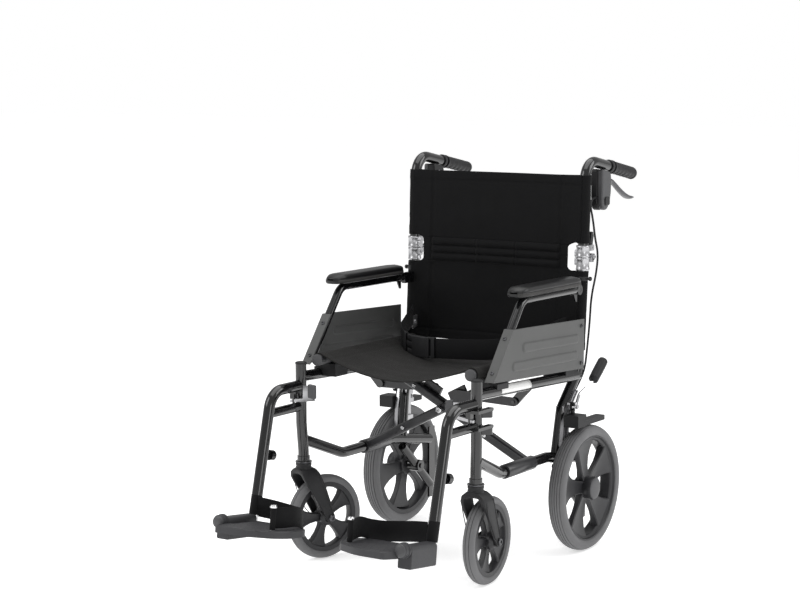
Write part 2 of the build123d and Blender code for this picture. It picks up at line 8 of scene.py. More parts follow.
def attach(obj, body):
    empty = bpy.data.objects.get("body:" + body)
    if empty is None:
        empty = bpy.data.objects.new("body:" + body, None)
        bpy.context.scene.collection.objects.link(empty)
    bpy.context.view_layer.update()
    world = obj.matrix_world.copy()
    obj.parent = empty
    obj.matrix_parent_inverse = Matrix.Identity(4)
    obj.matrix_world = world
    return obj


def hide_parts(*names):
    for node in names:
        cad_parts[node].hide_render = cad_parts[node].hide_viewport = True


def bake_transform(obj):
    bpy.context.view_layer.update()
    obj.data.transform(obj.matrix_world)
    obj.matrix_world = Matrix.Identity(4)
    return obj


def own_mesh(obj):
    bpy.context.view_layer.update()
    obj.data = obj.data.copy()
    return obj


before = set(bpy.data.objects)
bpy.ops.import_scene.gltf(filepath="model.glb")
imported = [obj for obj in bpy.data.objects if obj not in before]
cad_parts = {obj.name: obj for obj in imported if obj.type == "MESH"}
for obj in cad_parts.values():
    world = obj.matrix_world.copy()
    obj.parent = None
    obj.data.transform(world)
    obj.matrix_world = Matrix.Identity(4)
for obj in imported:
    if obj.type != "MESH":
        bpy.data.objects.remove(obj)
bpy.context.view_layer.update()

sides = {"left": 1, "right": -1}
mm = 0.001  # points below are in millimetres, meshes in metres

print("stage: camera, lights and floor")

view = {
    "position": (2.406, -3.784, 1.155),
    "target": (0.0, 0.042, 0.434),
    "lens": 87.75,
    "shift": (-0.0535, 0.0916),
    "roll": 0.1,
}
camera = bpy.data.objects.new("camera", bpy.data.cameras.new("camera"))
bpy.context.collection.objects.link(camera)
aim = (Vector(view["target"]) - Vector(view["position"])).to_track_quat("-Z", "Y").to_matrix()
aim = aim @ Matrix.Rotation(radians(view["roll"]), 3, "Z")
camera.matrix_world = Matrix.Translation(view["position"]) @ aim.to_4x4()
camera.data.lens = view["lens"]
camera.data.sensor_width = 36
camera.data.shift_x, camera.data.shift_y = view["shift"]
bpy.context.scene.camera = camera

studio = {
    "backdrop": 1.0, "room": 0.55, "paperGlow": 0.48,
    "key": ((-2.0, -2.6, 2.6), 2.0, 46),
    "rim": ((2.6, 1.6, 2.2), 1.8, 34),
    "front": ((3.2, -1.6, 0.9), 1.2, 14),
    "top": ((0.0, 0.2, 3.6), 3.6, 78),
}
world = bpy.data.worlds.new("studio")
world.use_nodes = True
room = world.node_tree.nodes["Background"]
room.inputs["Color"].default_value = (1, 1, 1, 1)
room.inputs["Strength"].default_value = studio["room"]
backdrop = world.node_tree.nodes.new("ShaderNodeBackground")
backdrop.inputs["Strength"].default_value = studio["backdrop"]
backdrop.inputs["Color"].default_value = (1, 1, 1, 1)
seen = world.node_tree.nodes.new("ShaderNodeLightPath")
either = world.node_tree.nodes.new("ShaderNodeMixShader")
world.node_tree.links.new(seen.outputs["Is Camera Ray"], either.inputs[0])
world.node_tree.links.new(room.outputs[0], either.inputs[1])
world.node_tree.links.new(backdrop.outputs[0], either.inputs[2])
world.node_tree.links.new(either.outputs[0], world.node_tree.nodes["World Output"].inputs["Surface"])
bpy.context.scene.world = world
bpy.context.scene.view_settings.view_transform = "Standard"
for lightName in ("key", "rim", "front", "top"):
    place, size, power = studio[lightName]
    lamp = bpy.data.lights.new(lightName, "AREA")
    lamp.size = size
    lamp.energy = power
    lampObject = bpy.data.objects.new(lightName, lamp)
    bpy.context.collection.objects.link(lampObject)
    lampObject.location = place
    lampObject.rotation_euler = (Vector((0, 0, 0.45)) - Vector(place)).to_track_quat("-Z", "Y").to_euler()

floorMesh = bpy.data.meshes.new("floor")
floorMesh.from_pydata([(-30, -30, 0), (30, -30, 0), (30, 30, 0), (-30, 30, 0)], [], [(0, 1, 2, 3)])
floor = bpy.data.objects.new("floor", floorMesh)
bpy.context.collection.objects.link(floor)

print("stage: finishes")

finishes = {
    # spread is how far the colour varies, scale and bump belong to the grain
    "paintedTube": dict(colour=(0.004, 0.004, 0.0045), rough=0.13, coat=0.3, gloss=0.5, spread=0.25,
                        scale=35, bump=0.02),
    "paintedBrace": dict(colour=(0.022, 0.022, 0.024), rough=0.34, coat=0.15, gloss=0.4, spread=0.2,
                         scale=60, bump=0.05),
    "silverPaint": dict(colour=(0.40, 0.40, 0.41), rough=0.3, metal=0.85, spread=0.14, scale=90, bump=0.05),
    "chrome": dict(colour=(0.66, 0.66, 0.67), rough=0.12, metal=1.0, spread=0.1, scale=60, bump=0.02),
    "darkSteel": dict(colour=(0.09, 0.09, 0.095), rough=0.3, metal=1.0, spread=0.2, scale=90, bump=0.04),
    "mouldedDark": dict(colour=(0.014, 0.014, 0.015), rough=0.5, gloss=0.28, spread=0.25, scale=450,
                        bump=0.15),
    "mouldedGrey": dict(colour=(0.06, 0.06, 0.063), rough=0.46, gloss=0.35, spread=0.15, scale=450,
                        bump=0.15),
    "footGrey": dict(colour=(0.034, 0.034, 0.037), rough=0.5, gloss=0.35, spread=0.15, scale=450,
                     bump=0.18),
    "guardGrey": dict(colour=(0.078, 0.079, 0.078), rough=0.5, gloss=0.32, spread=0.07, scale=500,
                      bump=0.12),
    "wheelGrey": dict(colour=(0.021, 0.021, 0.023), rough=0.4, gloss=0.35, spread=0.2, scale=400,
                      bump=0.12),
    "tyreGrey": dict(colour=(0.135, 0.135, 0.138), rough=0.6, gloss=0.25, spread=0.14, scale=220,
                     bump=0.15),
    "rubberBlack": dict(colour=(0.008, 0.008, 0.009), rough=0.5, gloss=0.3, spread=0.3, scale=350,
                        bump=0.2),
    "padSkin": dict(colour=(0.006, 0.006, 0.0065), rough=0.36, gloss=0.35, spread=0.25, scale=700,
                    bump=0.25),
    "padBand": dict(colour=(0.04, 0.039, 0.038), rough=0.7, gloss=0.25, spread=0.3, scale=900, bump=0.4),
    "leverGrey": dict(colour=(0.055, 0.055, 0.06), rough=0.36, metal=0.3, spread=0.15, scale=120,
                      bump=0.05),
    "blankLabel": dict(colour=(0.72, 0.72, 0.71), rough=0.35, coat=0.3, spread=0.05, scale=30, bump=0.03),
    "floorPaper": dict(colour=(0.95, 0.95, 0.95), rough=0.9, gloss=0.2, spread=0.01, scale=4, bump=0.0),
}
cloths = {
    # thread pitch in metres along and across, sheen
    "backNylon": dict(colour=(0.0042, 0.0042, 0.0045), rough=0.75, pitch=(0.0011, 0.0011), bump=0.35,
                      sheen=0.03, gloss=0.1),
    "seatNylon": dict(colour=(0.0145, 0.0140, 0.0135), rough=0.8, pitch=(0.0012, 0.0012), bump=0.35,
                      sheen=0.04, gloss=0.1),
    "webbing": dict(colour=(0.0065, 0.0065, 0.007), rough=0.7, pitch=(0.0014, 0.0026), bump=0.6, sheen=0.04,
                    gloss=0.12),
}
finish = {}


def linked(nodes, links, kind, **feeds):
    node = nodes.new(kind)
    for socket, value in feeds.items():
        target = node.inputs[int(socket[1:]) if socket[1:].isdigit() else socket]  # i3 is input 3
        if isinstance(value, bpy.types.NodeSocket):
            links.new(value, target)
        else:
            target.default_value = value
    return node


def mixedColour(nodes, links, factor, colour, spread):
    ramp = nodes.new("ShaderNodeValToRGB")
    ramp.color_ramp.elements[0].position = 0.3
    ramp.color_ramp.elements[1].position = 0.7
    ramp.color_ramp.elements[0].color = (*(c * (1 - spread) for c in colour), 1)
    ramp.color_ramp.elements[1].color = (*(c * (1 + spread) for c in colour), 1)
    links.new(factor, ramp.inputs["Fac"])
    return ramp.outputs["Color"]


def hardFinish(name, colour, rough, metal=0.0, coat=0.0, gloss=0.5, spread=0.1, scale=100, bump=0.05):
    material = bpy.data.materials.new(name)
    material.use_nodes = True
    nodes, links = material.node_tree.nodes, material.node_tree.links
    shader = nodes["Principled BSDF"]
    where = nodes.new("ShaderNodeTexCoord").outputs["Object"]
    broad = linked(nodes, links, "ShaderNodeTexNoise", Vector=where, Scale=9.0, Detail=5.0, Roughness=0.6)
    fine = linked(nodes, links, "ShaderNodeTexNoise", Vector=where, Scale=float(scale), Detail=3.0)
    links.new(mixedColour(nodes, links, broad.outputs["Fac"], colour, spread), shader.inputs["Base Color"])
    worn = linked(nodes, links, "ShaderNodeMapRange", Value=fine.outputs["Fac"], i3=rough * 0.82,
                  i4=rough * 1.18)
    links.new(worn.outputs["Result"], shader.inputs["Roughness"])
    if bump:
        relief = linked(nodes, links, "ShaderNodeBump", Strength=bump, Distance=0.0006,
                        Height=fine.outputs["Fac"])
        links.new(relief.outputs["Normal"], shader.inputs["Normal"])
    shader.inputs["Metallic"].default_value = metal
    shader.inputs["Specular IOR Level"].default_value = gloss
    shader.inputs["Coat Weight"].default_value = coat
    shader.inputs["Coat Roughness"].default_value = 0.08
    finish[name] = material


def clothFinish(name, colour, rough, pitch, bump, sheen, gloss):
    material = bpy.data.materials.new(name)
    material.use_nodes = True
    nodes, links = material.node_tree.nodes, material.node_tree.links
    shader = nodes["Principled BSDF"]
    coordinates = nodes.new("ShaderNodeTexCoord")
    parts = linked(nodes, links, "ShaderNodeSeparateXYZ", Vector=coordinates.outputs["UV"])
    threads = []
    for axis, step in zip("XY", pitch):
        turn = linked(nodes, links, "ShaderNodeMath", i0=parts.outputs[axis], i1=2 * pi / step)
        turn.operation = "MULTIPLY"
        wave = linked(nodes, links, "ShaderNodeMath", i0=turn.outputs[0])
        wave.operation = "SINE"
        threads.append(wave.outputs[0])
    weave = linked(nodes, links, "ShaderNodeMath", i0=threads[0], i1=threads[1])
    weave.operation = "MULTIPLY"
    height = linked(nodes, links, "ShaderNodeMapRange", Value=weave.outputs[0], i1=-1.0, i2=1.0)
    patches = linked(nodes, links, "ShaderNodeTexNoise", Vector=coordinates.outputs["Object"], Scale=14.0,
                     Detail=6.0)
    # painted shade and highlight: thread crests painted lighter and the gaps between threads darker, added
    # to the random patches for the colour
    weaveShade = linked(nodes, links, "ShaderNodeMath", i0=height.outputs["Result"], i1=0.35)
    weaveShade.operation = "MULTIPLY"
    total = linked(nodes, links, "ShaderNodeMath", i0=weaveShade.outputs[0], i1=patches.outputs["Fac"])
    total.operation = "ADD"
    links.new(mixedColour(nodes, links, total.outputs[0], colour, 0.3), shader.inputs["Base Color"])
    relief = linked(nodes, links, "ShaderNodeBump", Strength=bump, Distance=0.0005,
                    Height=height.outputs["Result"])
    links.new(relief.outputs["Normal"], shader.inputs["Normal"])
    rougher = linked(nodes, links, "ShaderNodeMapRange", Value=patches.outputs["Fac"], i3=rough * 0.9,
                     i4=min(1, rough * 1.1))
    links.new(rougher.outputs["Result"], shader.inputs["Roughness"])
    shader.inputs["Specular IOR Level"].default_value = gloss
    shader.inputs["Sheen Weight"].default_value = sheen
    shader.inputs["Sheen Roughness"].default_value = 0.4
    finish[name] = material


for finishName, values in finishes.items():
    hardFinish(finishName, **values)
for finishName, values in cloths.items():
    clothFinish(finishName, **values)
floorMesh.materials.append(finish["floorPaper"])
floorShader = finish["floorPaper"].node_tree.nodes["Principled BSDF"]
floorShader.inputs["Emission Color"].default_value = (1, 1, 1, 1)
floorShader.inputs["Emission Strength"].default_value = studio["paperGlow"]


def vec(*p):
    return Vector(p)


def loft(rings, closed=True, capped=True, looped=False):
    # skin over a list of rings with the same number of points
    around, count = len(rings[0]), len(rings)
    faces = []
    for i in range(count if looped else count - 1):
        j = (i + 1) % count
        for k in range(around if closed else around - 1):
            m = (k + 1) % around
            faces.append((i * around + k, i * around + m, j * around + m, j * around + k))
    if capped and closed and not looped:
        faces.append(tuple(reversed(range(around))))
        faces.append(tuple(range((count - 1) * around, count * around)))
    return [p for ring in rings for p in ring], faces


def lathe(profile, centre, u, v, w, steps=72):
    # closed profile of (radius, height) turned about w
    rings = []
    for i in range(steps):
        out = u * cos(2 * pi * i / steps) + v * sin(2 * pi * i / steps)
        rings.append([centre + out * r + w * h for r, h in profile])
    return loft(rings, looped=True)


def across(direction):
    # two directions square to this one
    w = Vector(direction).normalized()
    u = w.cross(Vector((0, 0, 1)) if abs(w.z) < 0.9 else Vector((1, 0, 0))).normalized()
    return u, w.cross(u), w


def smoothLine(points, steps=8):
    # rounded line through points
    spots = [Vector(p) for p in points]
    spots = [spots[0] * 2 - spots[1]] + spots + [spots[-1] * 2 - spots[-2]]
    line = []
    for i in range(1, len(spots) - 2):
        a, b, c, d = spots[i - 1:i + 3]
        for k in range(steps):
            t = k / steps
            line.append(0.5 * ((2 * b) + (c - a) * t + (2 * a - 5 * b + 4 * c - d) * t * t
                               + (3 * b - a - 3 * c + d) * t ** 3))
    line.append(spots[-2].copy())
    return line


def pipe(line, radius, steps=16):
    # round tube along a line; radius is a number or one for each point
    rings = []
    u = None
    for i, spot in enumerate(line):
        ahead = (line[min(i + 1, len(line) - 1)] - line[max(i - 1, 0)]).normalized()
        u = across(ahead)[0] if u is None else (u - ahead * u.dot(ahead)).normalized()
        v = ahead.cross(u)
        r = radius[i] if isinstance(radius, list) else radius
        rings.append([spot + u * r * cos(2 * pi * k / steps) + v * r * sin(2 * pi * k / steps)
                      for k in range(steps)])
    return loft(rings)


def prism(outline, low, high, place):
    # outline of (a, b) pushed from low to high; place(a, b, c) gives the point
    return loft([[place(a, b, c) for a, b in outline] for c in (low, high)])


def roundedOutline(corners, radius, steps=5):
    # polygon with its corners rounded
    outline = []
    count = len(corners)
    for i, corner in enumerate(corners):
        r = radius[i] if isinstance(radius, (list, tuple)) else radius
        spot = Vector(corner)
        before = Vector(corners[i - 1]) - spot
        after = Vector(corners[(i + 1) % count]) - spot
        reach = min(r, before.length * 0.49, after.length * 0.49)
        if reach < 0.05:
            outline.append(tuple(spot))
            continue
        a, b = spot + before.normalized() * reach, spot + after.normalized() * reach
        for k in range(steps + 1):
            t = k / steps
            outline.append(tuple(a * (1 - t) ** 2 + spot * 2 * t * (1 - t) + b * t * t))
    return outline


def newPiece(name, shape, material, body=None, uvs=None, angle=32):
    vertices, faces = shape
    mesh = bpy.data.meshes.new(name)
    mesh.from_pydata([Vector(p) * mm for p in vertices], [], faces)
    if uvs:
        layer = mesh.uv_layers.new(name="weave")
        for loopIndex, loop in enumerate(mesh.loops):
            layer.data[loopIndex].uv = uvs[loop.vertex_index]
    shell = bmesh.new()
    shell.from_mesh(mesh)
    bmesh.ops.recalc_face_normals(shell, faces=shell.faces)
    shell.to_mesh(mesh)
    shell.free()
    for polygon in mesh.polygons:
        polygon.use_smooth = True
    mesh.set_sharp_from_angle(angle=radians(angle))
    for one in material if isinstance(material, list) else [material]:
        mesh.materials.append(finish[one])
    piece = bpy.data.objects.new(name, mesh)
    bpy.context.collection.objects.link(piece)
    if body:
        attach(piece, body)
    return piece


def joined(shapes):
    vertices, faces = [], []
    for some, more in shapes:
        base = len(vertices)
        vertices += list(some)
        faces += [tuple(base + i for i in face) for face in more]
    return vertices, faces


def eased(piece, width=1.0, segments=2, angle=35):
    # small round along sharp edges
    weld = piece.modifiers.new("weld", "WELD")
    weld.merge_threshold = 0.00002
    bevel = piece.modifiers.new("edges", "BEVEL")
    bevel.width = width * mm
    bevel.segments = segments
    bevel.limit_method = "ANGLE"
    bevel.angle_limit = radians(angle)
    bevel.harden_normals = False
    return piece


def settled(piece):
    # makes the modifiers part of the mesh
    bpy.context.view_layer.update()
    ready = piece.evaluated_get(bpy.context.evaluated_depsgraph_get())
    mesh = bpy.data.meshes.new_from_object(ready)
    piece.modifiers.clear()
    piece.data = mesh
    return piece


def clothPiece(name, rows, material, thick, body=None):
    # sheet over rows of (point, uv in metres), given its thickness
    around = len(rows[0])
    points = [spot for row in rows for spot, _ in row]
    uvs = [uv for row in rows for _, uv in row]
    faces = [(i * around + k, i * around + k + 1, (i + 1) * around + k + 1, (i + 1) * around + k)
             for i in range(len(rows) - 1) for k in range(around - 1)]
    piece = newPiece(name, (points, faces), material, None, uvs, angle=60)
    solid = piece.modifiers.new("thickness", "SOLIDIFY")
    solid.thickness = thick * mm
    solid.offset = 0  # half the thickness on each side
    settled(piece)
    if body:
        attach(piece, body)
    return piece


def hexBolt(centre, direction, radius, height=3.5):
    # low round head with a hexagon socket
    u, v, w = across(direction)
    head = lathe([(0.02, 0), (radius, 0), (radius, height * 0.55), (radius * 0.8, height),
                  (radius * 0.45, height),
                  (radius * 0.42, height * 0.45), (0.02, height * 0.45)], Vector(centre), u, v, w, 24)
    return head


def dome(centre, direction, radius, height, rim=1.0):
    u, v, w = across(direction)
    return lathe([(0.02, -1), (radius, -1), (radius, rim), (radius * 0.94, rim + (height - rim) * 0.35),
                  (radius * 0.75, rim + (height - rim) * 0.72), (radius * 0.4, height * 0.96),
                  (0.02, height)],
                 Vector(centre), u, v, w, 36)


def repaint(material, *nodeNames, edge=0.0):
    for nodeName in nodeNames:
        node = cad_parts[nodeName]
        if not node.material_slots:
            node.data.materials.append(finish[material])
        for spot in node.material_slots:
            spot.material = finish[material]
        if edge:
            eased(node, edge)


def both(*names):
    return [f"{n}_{s}" for n in names for s in sides]


print("stage: brake cables")

cable = {
    "radius": 2.5,
    "bow": {"left": 4, "right": 14},
    "length": {"left": 0.559, "right": 0.562},
    "bend": (0.640, 0.760),
}
for name, side in sides.items():
    bow = cable["bow"][name]
    controls = [(237, 358, 838), (237, 331, 838), (242 + bow * 0.4, 308, 821), (250 + bow, 304, 787),
                (253 + bow * 0.6, 312, 745), (261, 319, 706), (260, 312, 660), (253.5, 300, 604),
                (254, 294, 545),
                (251, 288, 482), (248, 284, 434), (238, 271, 398), (225, 250, 360), (225, 250, 331)]
    curve = bpy.data.curves.new("cableLine", "CURVE")
    curve.dimensions = "3D"
    spline = curve.splines.new("NURBS")
    spline.points.add(len(controls) - 1)
    for spot, (x, y, z) in zip(spline.points, controls):
        spot.co = (side * x * mm, y * mm, z * mm, 1)
    spline.order_u = 3
    spline.use_endpoint_u = True
    spline.resolution_u = 14
    holder = bpy.data.objects.new("cableLine", curve)
    bpy.context.collection.objects.link(holder)
    bpy.context.view_layer.update()
    traced = bpy.data.meshes.new_from_object(holder)
    path = [tuple(v.co) for v in traced.vertices]
    bpy.data.objects.remove(holder)
    piece = newPiece(f"brakeCable_{name}", pipe([Vector(p) / mm for p in path], cable["radius"], 14),
                     "rubberBlack", None)
    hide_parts(f"brake_cable_{name}")
    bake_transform(piece)

print("stage: frame finishes")

repaint("paintedTube", *both("side_frame", "back_tube", "arm_frame", "hanger"))
repaint("mouldedDark", *both("back_lever", "seat_saddles"), edge=1.0)
repaint("silverPaint", *both("park_bracket"), edge=0.8)
repaint("paintedBrace", *both("brace", "fold_link"), edge=0.8)
repaint("chrome", *both("park_lever"))
repaint("rubberBlack", *both("park_shoe"), edge=1.0)
repaint("silverPaint", *both("swing_lever"), edge=0.8)

print("stage: back hinges")

hinge = {"y": 286.5, "r": 16.4, "low": 669, "middle": 700, "high": 728, "pin": 308, "knuckle": 8,
         "leverPin": (316, 721)}
for name, side in sides.items():
    east, north, up = vec(1, 0, 0), vec(0, 1, 0), vec(0, 0, 1)
    r, middle = hinge["r"], hinge["middle"]

    def collar(low, high):
        # round clamp with a bead at each end
        profile = [(12.8, low), (r - 0.8, low), (r, low + 1.2), (r, low + 5), (r - 0.7, low + 6),
                   (r - 0.7, high - 6), (r, high - 5), (r, high - 1.2),
                   (r - 0.8, high), (12.8, high)]
        return lathe(profile, vec(side * 237, hinge["y"], 0), east, north, up, 56)

    def slab(xs, ys, zs, corner=1.5):
        outline = roundedOutline([(ys[0], zs[0]), (ys[1], zs[0]), (ys[1], zs[1]), (ys[0], zs[1])], corner,
                                 4)
        return prism(outline, xs[0], xs[1], lambda a, b, c: vec(side * c, a, b))

    def knuckle(a, b):
        return pipe([vec(side * a, hinge["pin"], middle), vec(side * b, hinge["pin"], middle)],
                    hinge["knuckle"], 28)
    lower = [collar(hinge["low"], middle - 0.3), slab((218, 224), (280, 294), (681, 699.6), 4),
             knuckle(219, 229.3), knuckle(244.7, 255),
             slab((219, 229.3), (296, 308), (688, 699.6)), slab((244.7, 255), (296, 308), (688, 699.6)),
             hexBolt(vec(side * 255, hinge["pin"], middle), vec(side, 0, 0), 5, 3.2),
             hexBolt(vec(side * 218, 287, 690), vec(-side, 0, 0), 4, 2.4)]
    clamp = newPiece(f"hingeLower_{name}", joined(lower), "silverPaint", f"frame_{name}",
                     angle=40)
    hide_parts(f"back_hinge_{name}")
    upper = [collar(middle + 0.3, hinge["high"]), slab((218, 224), (280, 294), (700.4, 717), 4),
             knuckle(230, 244),
             slab((230, 244), (296, 308), (700.4, 712)), slab((225.4, 230.4), (298, 322), (714, 728), 3),
             slab((243.6, 248.6), (298, 322), (714, 728), 3),
             pipe([vec(side * 224.5, *hinge["leverPin"]), vec(side * 249.5, *hinge["leverPin"])], 2.6, 20)]
    arm = newPiece(f"hingeUpper_{name}", joined(upper), "silverPaint", f"upper_back_{name}",
                   angle=40)
    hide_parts(f"hinge_arm_{name}")

print("stage: wheels")

rearWheel = {
    "x": 262, "y": 264, "z": 151, "firstSpoke": 100,
    "tyre": dict(inner=127, outer=151, half=21.5, crown=9, grooves=[-12.5, -6.2, 0, 6.2, 12.5], groove=1.0),
    "rim": [(114, -14), (116, -19), (127.3, -19), (127.3, 15), (125.5, 17), (123, 17), (121, 13), (116, 11),
            (114, 8)],
    "hub": [(6.3, -20), (23, -20), (26, -17), (26, 10), (27.5, 13), (28, 24), (26.5, 28), (22, 28),
            (20, 26), (6.3, 26)],
    # spoke stations: radius, width, inner face, outer face
    "spoke": [(20, 30, -13, 9), (34, 30, -12, 6), (52, 34, -10, 4.5), (74, 44, -9, 5), (92, 57, -9, 7.5),
              (105, 70, -10, 10.5), (116, 84, -10, 12.5)],
}
casterWheel = {
    "trail": 57, "z": 100, "firstSpoke": 250, "turn": {"left": 4.3, "right": -19.0}, "stem": (234, -193),
    "tyre": dict(inner=83, outer=100, half=14.5, crown=7, grooves=[-4.2, 4.2], groove=0.8),
    "rim": [(70.5, -8), (72, -11), (83.3, -11), (83.3, 11), (72, 11), (70.5, 8)],
    "hub": [(4.3, -22), (13, -22), (15, -20), (20, -14), (20, 14), (15, 20), (13, 22), (4.3, 22)],
    "spoke": [(15, 20, -9, 9), (28, 20, -7, 7), (44, 25, -7, 7), (60, 35, -8, 8), (73, 50, -9, 9)],
}
fork = {
    "boltOut": 31, "ridgeOut": 31.2, "ringHeight": 238.5, "pinOut": 33,
    # from the axle to the crown: distance from the middle, height, middle of the bar behind the stem,
    # half width, half thickness
    "arch": [(27, 90, 57.5, 8, 3.8), (27, 96, 56.5, 11.5, 4), (27, 104, 54.5, 13, 4),
             (27, 122, 46.5, 15, 4), (27, 145, 36, 18, 4),
             (27, 168, 24.5, 21.5, 4.2), (27, 187, 14, 24, 4.6), (26, 200, 7, 24.5, 5.4),
             (22.5, 210, 3.5, 23.5, 6.4), (15, 215.5, 2, 22, 7.4),
             (7, 217, 1, 21, 8), (0, 217.5, 1, 20.5, 8)],
}


def spokeRing(centre, out, side, w, station):
    radius, width, low, high = station
    half = width / 2
    section = [(-half, low + 1.5), (-half, high - 2), (-half + 2.5, high), (-half * 0.4, high - 1.8),
               (half * 0.4, high - 1.8),
               (half - 2.5, high), (half, high - 2), (half, low + 1.5), (half - 2, low), (-half + 2, low)]
    return [centre + out * (radius - (a * a) / (radius * 2.6)) + side * a + w * b for a, b in section]


def spokedWheel(name, sizes, centre, u, v, w, body, steps):
    shapes = [lathe(sizes["rim"], centre, u, v, w, steps), lathe(sizes["hub"], centre, u, v, w, 48)]
    for i in range(5):
        turn = radians(sizes["firstSpoke"] + 72 * i)
        out = u * cos(turn) + v * sin(turn)
        along = v * cos(turn) - u * sin(turn)
        shapes.append(loft([spokeRing(centre, out, along, w, station) for station in sizes["spoke"]]))
    return newPiece(name, joined(shapes), "wheelGrey", body, angle=28)


def tyreProfile(inner, outer, half, crown, grooves, groove):
    # side wall, rounded tread with grooves, side wall
    def tread(h):
        return outer - crown * abs(h / half) ** 2.4
    walls = [(inner - 1, -half + 4), (inner + 1.5, -half + 1.8), (inner + 5, -half + 0.6),
             (inner + 9, -half)]
    tops = []
    for h in sorted([k * half * 0.1 for k in range(-9, 10)]):
        if all(abs(h - g) > groove * 1.6 for g in grooves):
            tops.append((tread(h), h))
    for g in grooves:
        tops += [(tread(g - groove), g - groove), (tread(g) - 2, g - groove * 0.5),
                 (tread(g) - 2, g + groove * 0.5),
                 (tread(g + groove), g + groove)]
    tops.sort(key=lambda p: p[1])
    return walls + tops + [(r, -h) for r, h in reversed(walls)]


for name, side in sides.items():
    u, v, w = vec(0, 1, 0), vec(0, 0, side), vec(side, 0, 0)
    centre = vec(side * rearWheel["x"], rearWheel["y"], rearWheel["z"])
    wheel = spokedWheel(f"rearWheel_{name}", rearWheel, centre, u, v, w, f"rear_wheel_{name}", 120)
    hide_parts(f"rear_wheel_{name}")
    profile = tyreProfile(**rearWheel["tyre"])
    tyre = newPiece(f"rearTyre_{name}", lathe(profile, centre, u, v, w, 144), "tyreGrey",
                    f"rear_wheel_{name}", angle=50)
    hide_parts(f"rear_tyre_{name}")
    newPiece(f"axleCap_{name}", dome(centre + w * 27, w, 25.5, 3.6, 1.6), "mouldedGrey",
             f"rear_wheel_{name}")
    turned = Matrix.Rotation(radians(casterWheel["turn"][name]), 3, "Z")
    heading, sideways = turned @ vec(0, 1, 0), turned @ vec(1, 0, 0)
    stem = vec(side * casterWheel["stem"][0], casterWheel["stem"][1], 0)
    hub = stem + heading * casterWheel["trail"] + vec(0, 0, casterWheel["z"])
    wheel = spokedWheel(f"casterWheel_{name}", casterWheel, hub, heading, vec(0, 0, 1), sideways,
                        f"caster_wheel_{name}", 96)
    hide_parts(f"caster_wheel_{name}")
    profile = tyreProfile(**casterWheel["tyre"])
    tyre = newPiece(f"casterTyre_{name}", lathe(profile, hub, heading, vec(0, 0, 1), sideways, 120),
                    "tyreGrey",
                    f"caster_wheel_{name}", angle=50)
    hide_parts(f"caster_tyre_{name}")
    bolts = [hexBolt(hub + sideways * fork["boltOut"] * k, sideways * k, 8.5, 4.5) for k in (-1, 1)]
    newPiece(f"casterBolts_{name}", joined(bolts), "darkSteel", f"caster_fork_{name}")
    ring = lathe([(12, -1.5), (19.2, -1.5), (19.6, 0), (19.2, 1.5), (12, 1.5)],
                 stem + vec(0, 0, fork["ringHeight"]), vec(1, 0, 0), vec(0, 1, 0), vec(0, 0, 1), 48)
    newPiece(f"stemRing_{name}", ring, "darkSteel", f"caster_fork_{name}")
    # fork: one moulded arch from axle to axle, and the stem socket on its crown
    rings = []
    for k in (1, -1):
        half = fork["arch"] if k == 1 else fork["arch"][-2::-1]
        for a, z, middle, wide, thick in half:
            a *= k
            slant = min(1, abs(a) / fork["arch"][0][0]) ** 3
            outward = sideways * (k * slant) + vec(0, 0, 1) * (1 - slant)
            outward.normalize()
            spot = stem + heading * middle + sideways * a + vec(0, 0, z)
            ring = []
            for j in range(20):
                c, d = cos(2 * pi * j / 20), sin(2 * pi * j / 20)
                reach = 1 / (abs(c) ** 5 + abs(d) ** 5) ** 0.2
                ring.append(spot + heading * (wide * c * reach) + outward * (thick * d * reach))
            rings.append(ring)
    socket = lathe([(5, 214), (17, 214), (18.5, 217), (18.5, 226), (17.4, 227.5), (17.4, 229),
                    (18.5, 230.5), (18.5, 236), (17, 238), (5, 238)],
                   stem, vec(1, 0, 0), vec(0, 1, 0), vec(0, 0, 1), 48)
    pin = pipe([hub - sideways * fork["pinOut"], hub + sideways * fork["pinOut"]], 4, 16)
    arch = newPiece(f"casterFork_{name}", joined([loft(rings), socket, pin]), "mouldedDark",
                    f"caster_fork_{name}", angle=45)
    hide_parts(f"caster_fork_{name}")
    ridges = []
    for k in (-1, 1):
        for line in ([(-8, 200), (0, 170), (22, 122), (44, 98)],
                     [(24, 206), (33, 182), (58, 118), (64, 104)]):
            trace = [stem + heading * y + sideways * (fork["ridgeOut"] * k) + vec(0, 0, z) for y, z in line]
            ridges.append(pipe(smoothLine(trace, 5), 1.1, 8))
    newPiece(f"forkRidges_{name}", joined(ridges), "mouldedDark", f"caster_fork_{name}")

print("stage: push handles and brake levers")

handle = {"corner": (295, 930), "end": (538, 886), "grip": (423, 541), "x": 237, "radius": 16.5,
          "fingers": 5, "collar": 413}
slope = Vector((0, handle["end"][0] - handle["corner"][0],
                handle["end"][1] - handle["corner"][1])).normalized()
lift = Vector((0, -slope.z, slope.y))


def onHandle(side, y):
    share = (y - handle["corner"][0]) / (handle["end"][0] - handle["corner"][0])
    return vec(side * handle["x"], y,
               handle["corner"][1] + share * (handle["end"][1] - handle["corner"][1]))


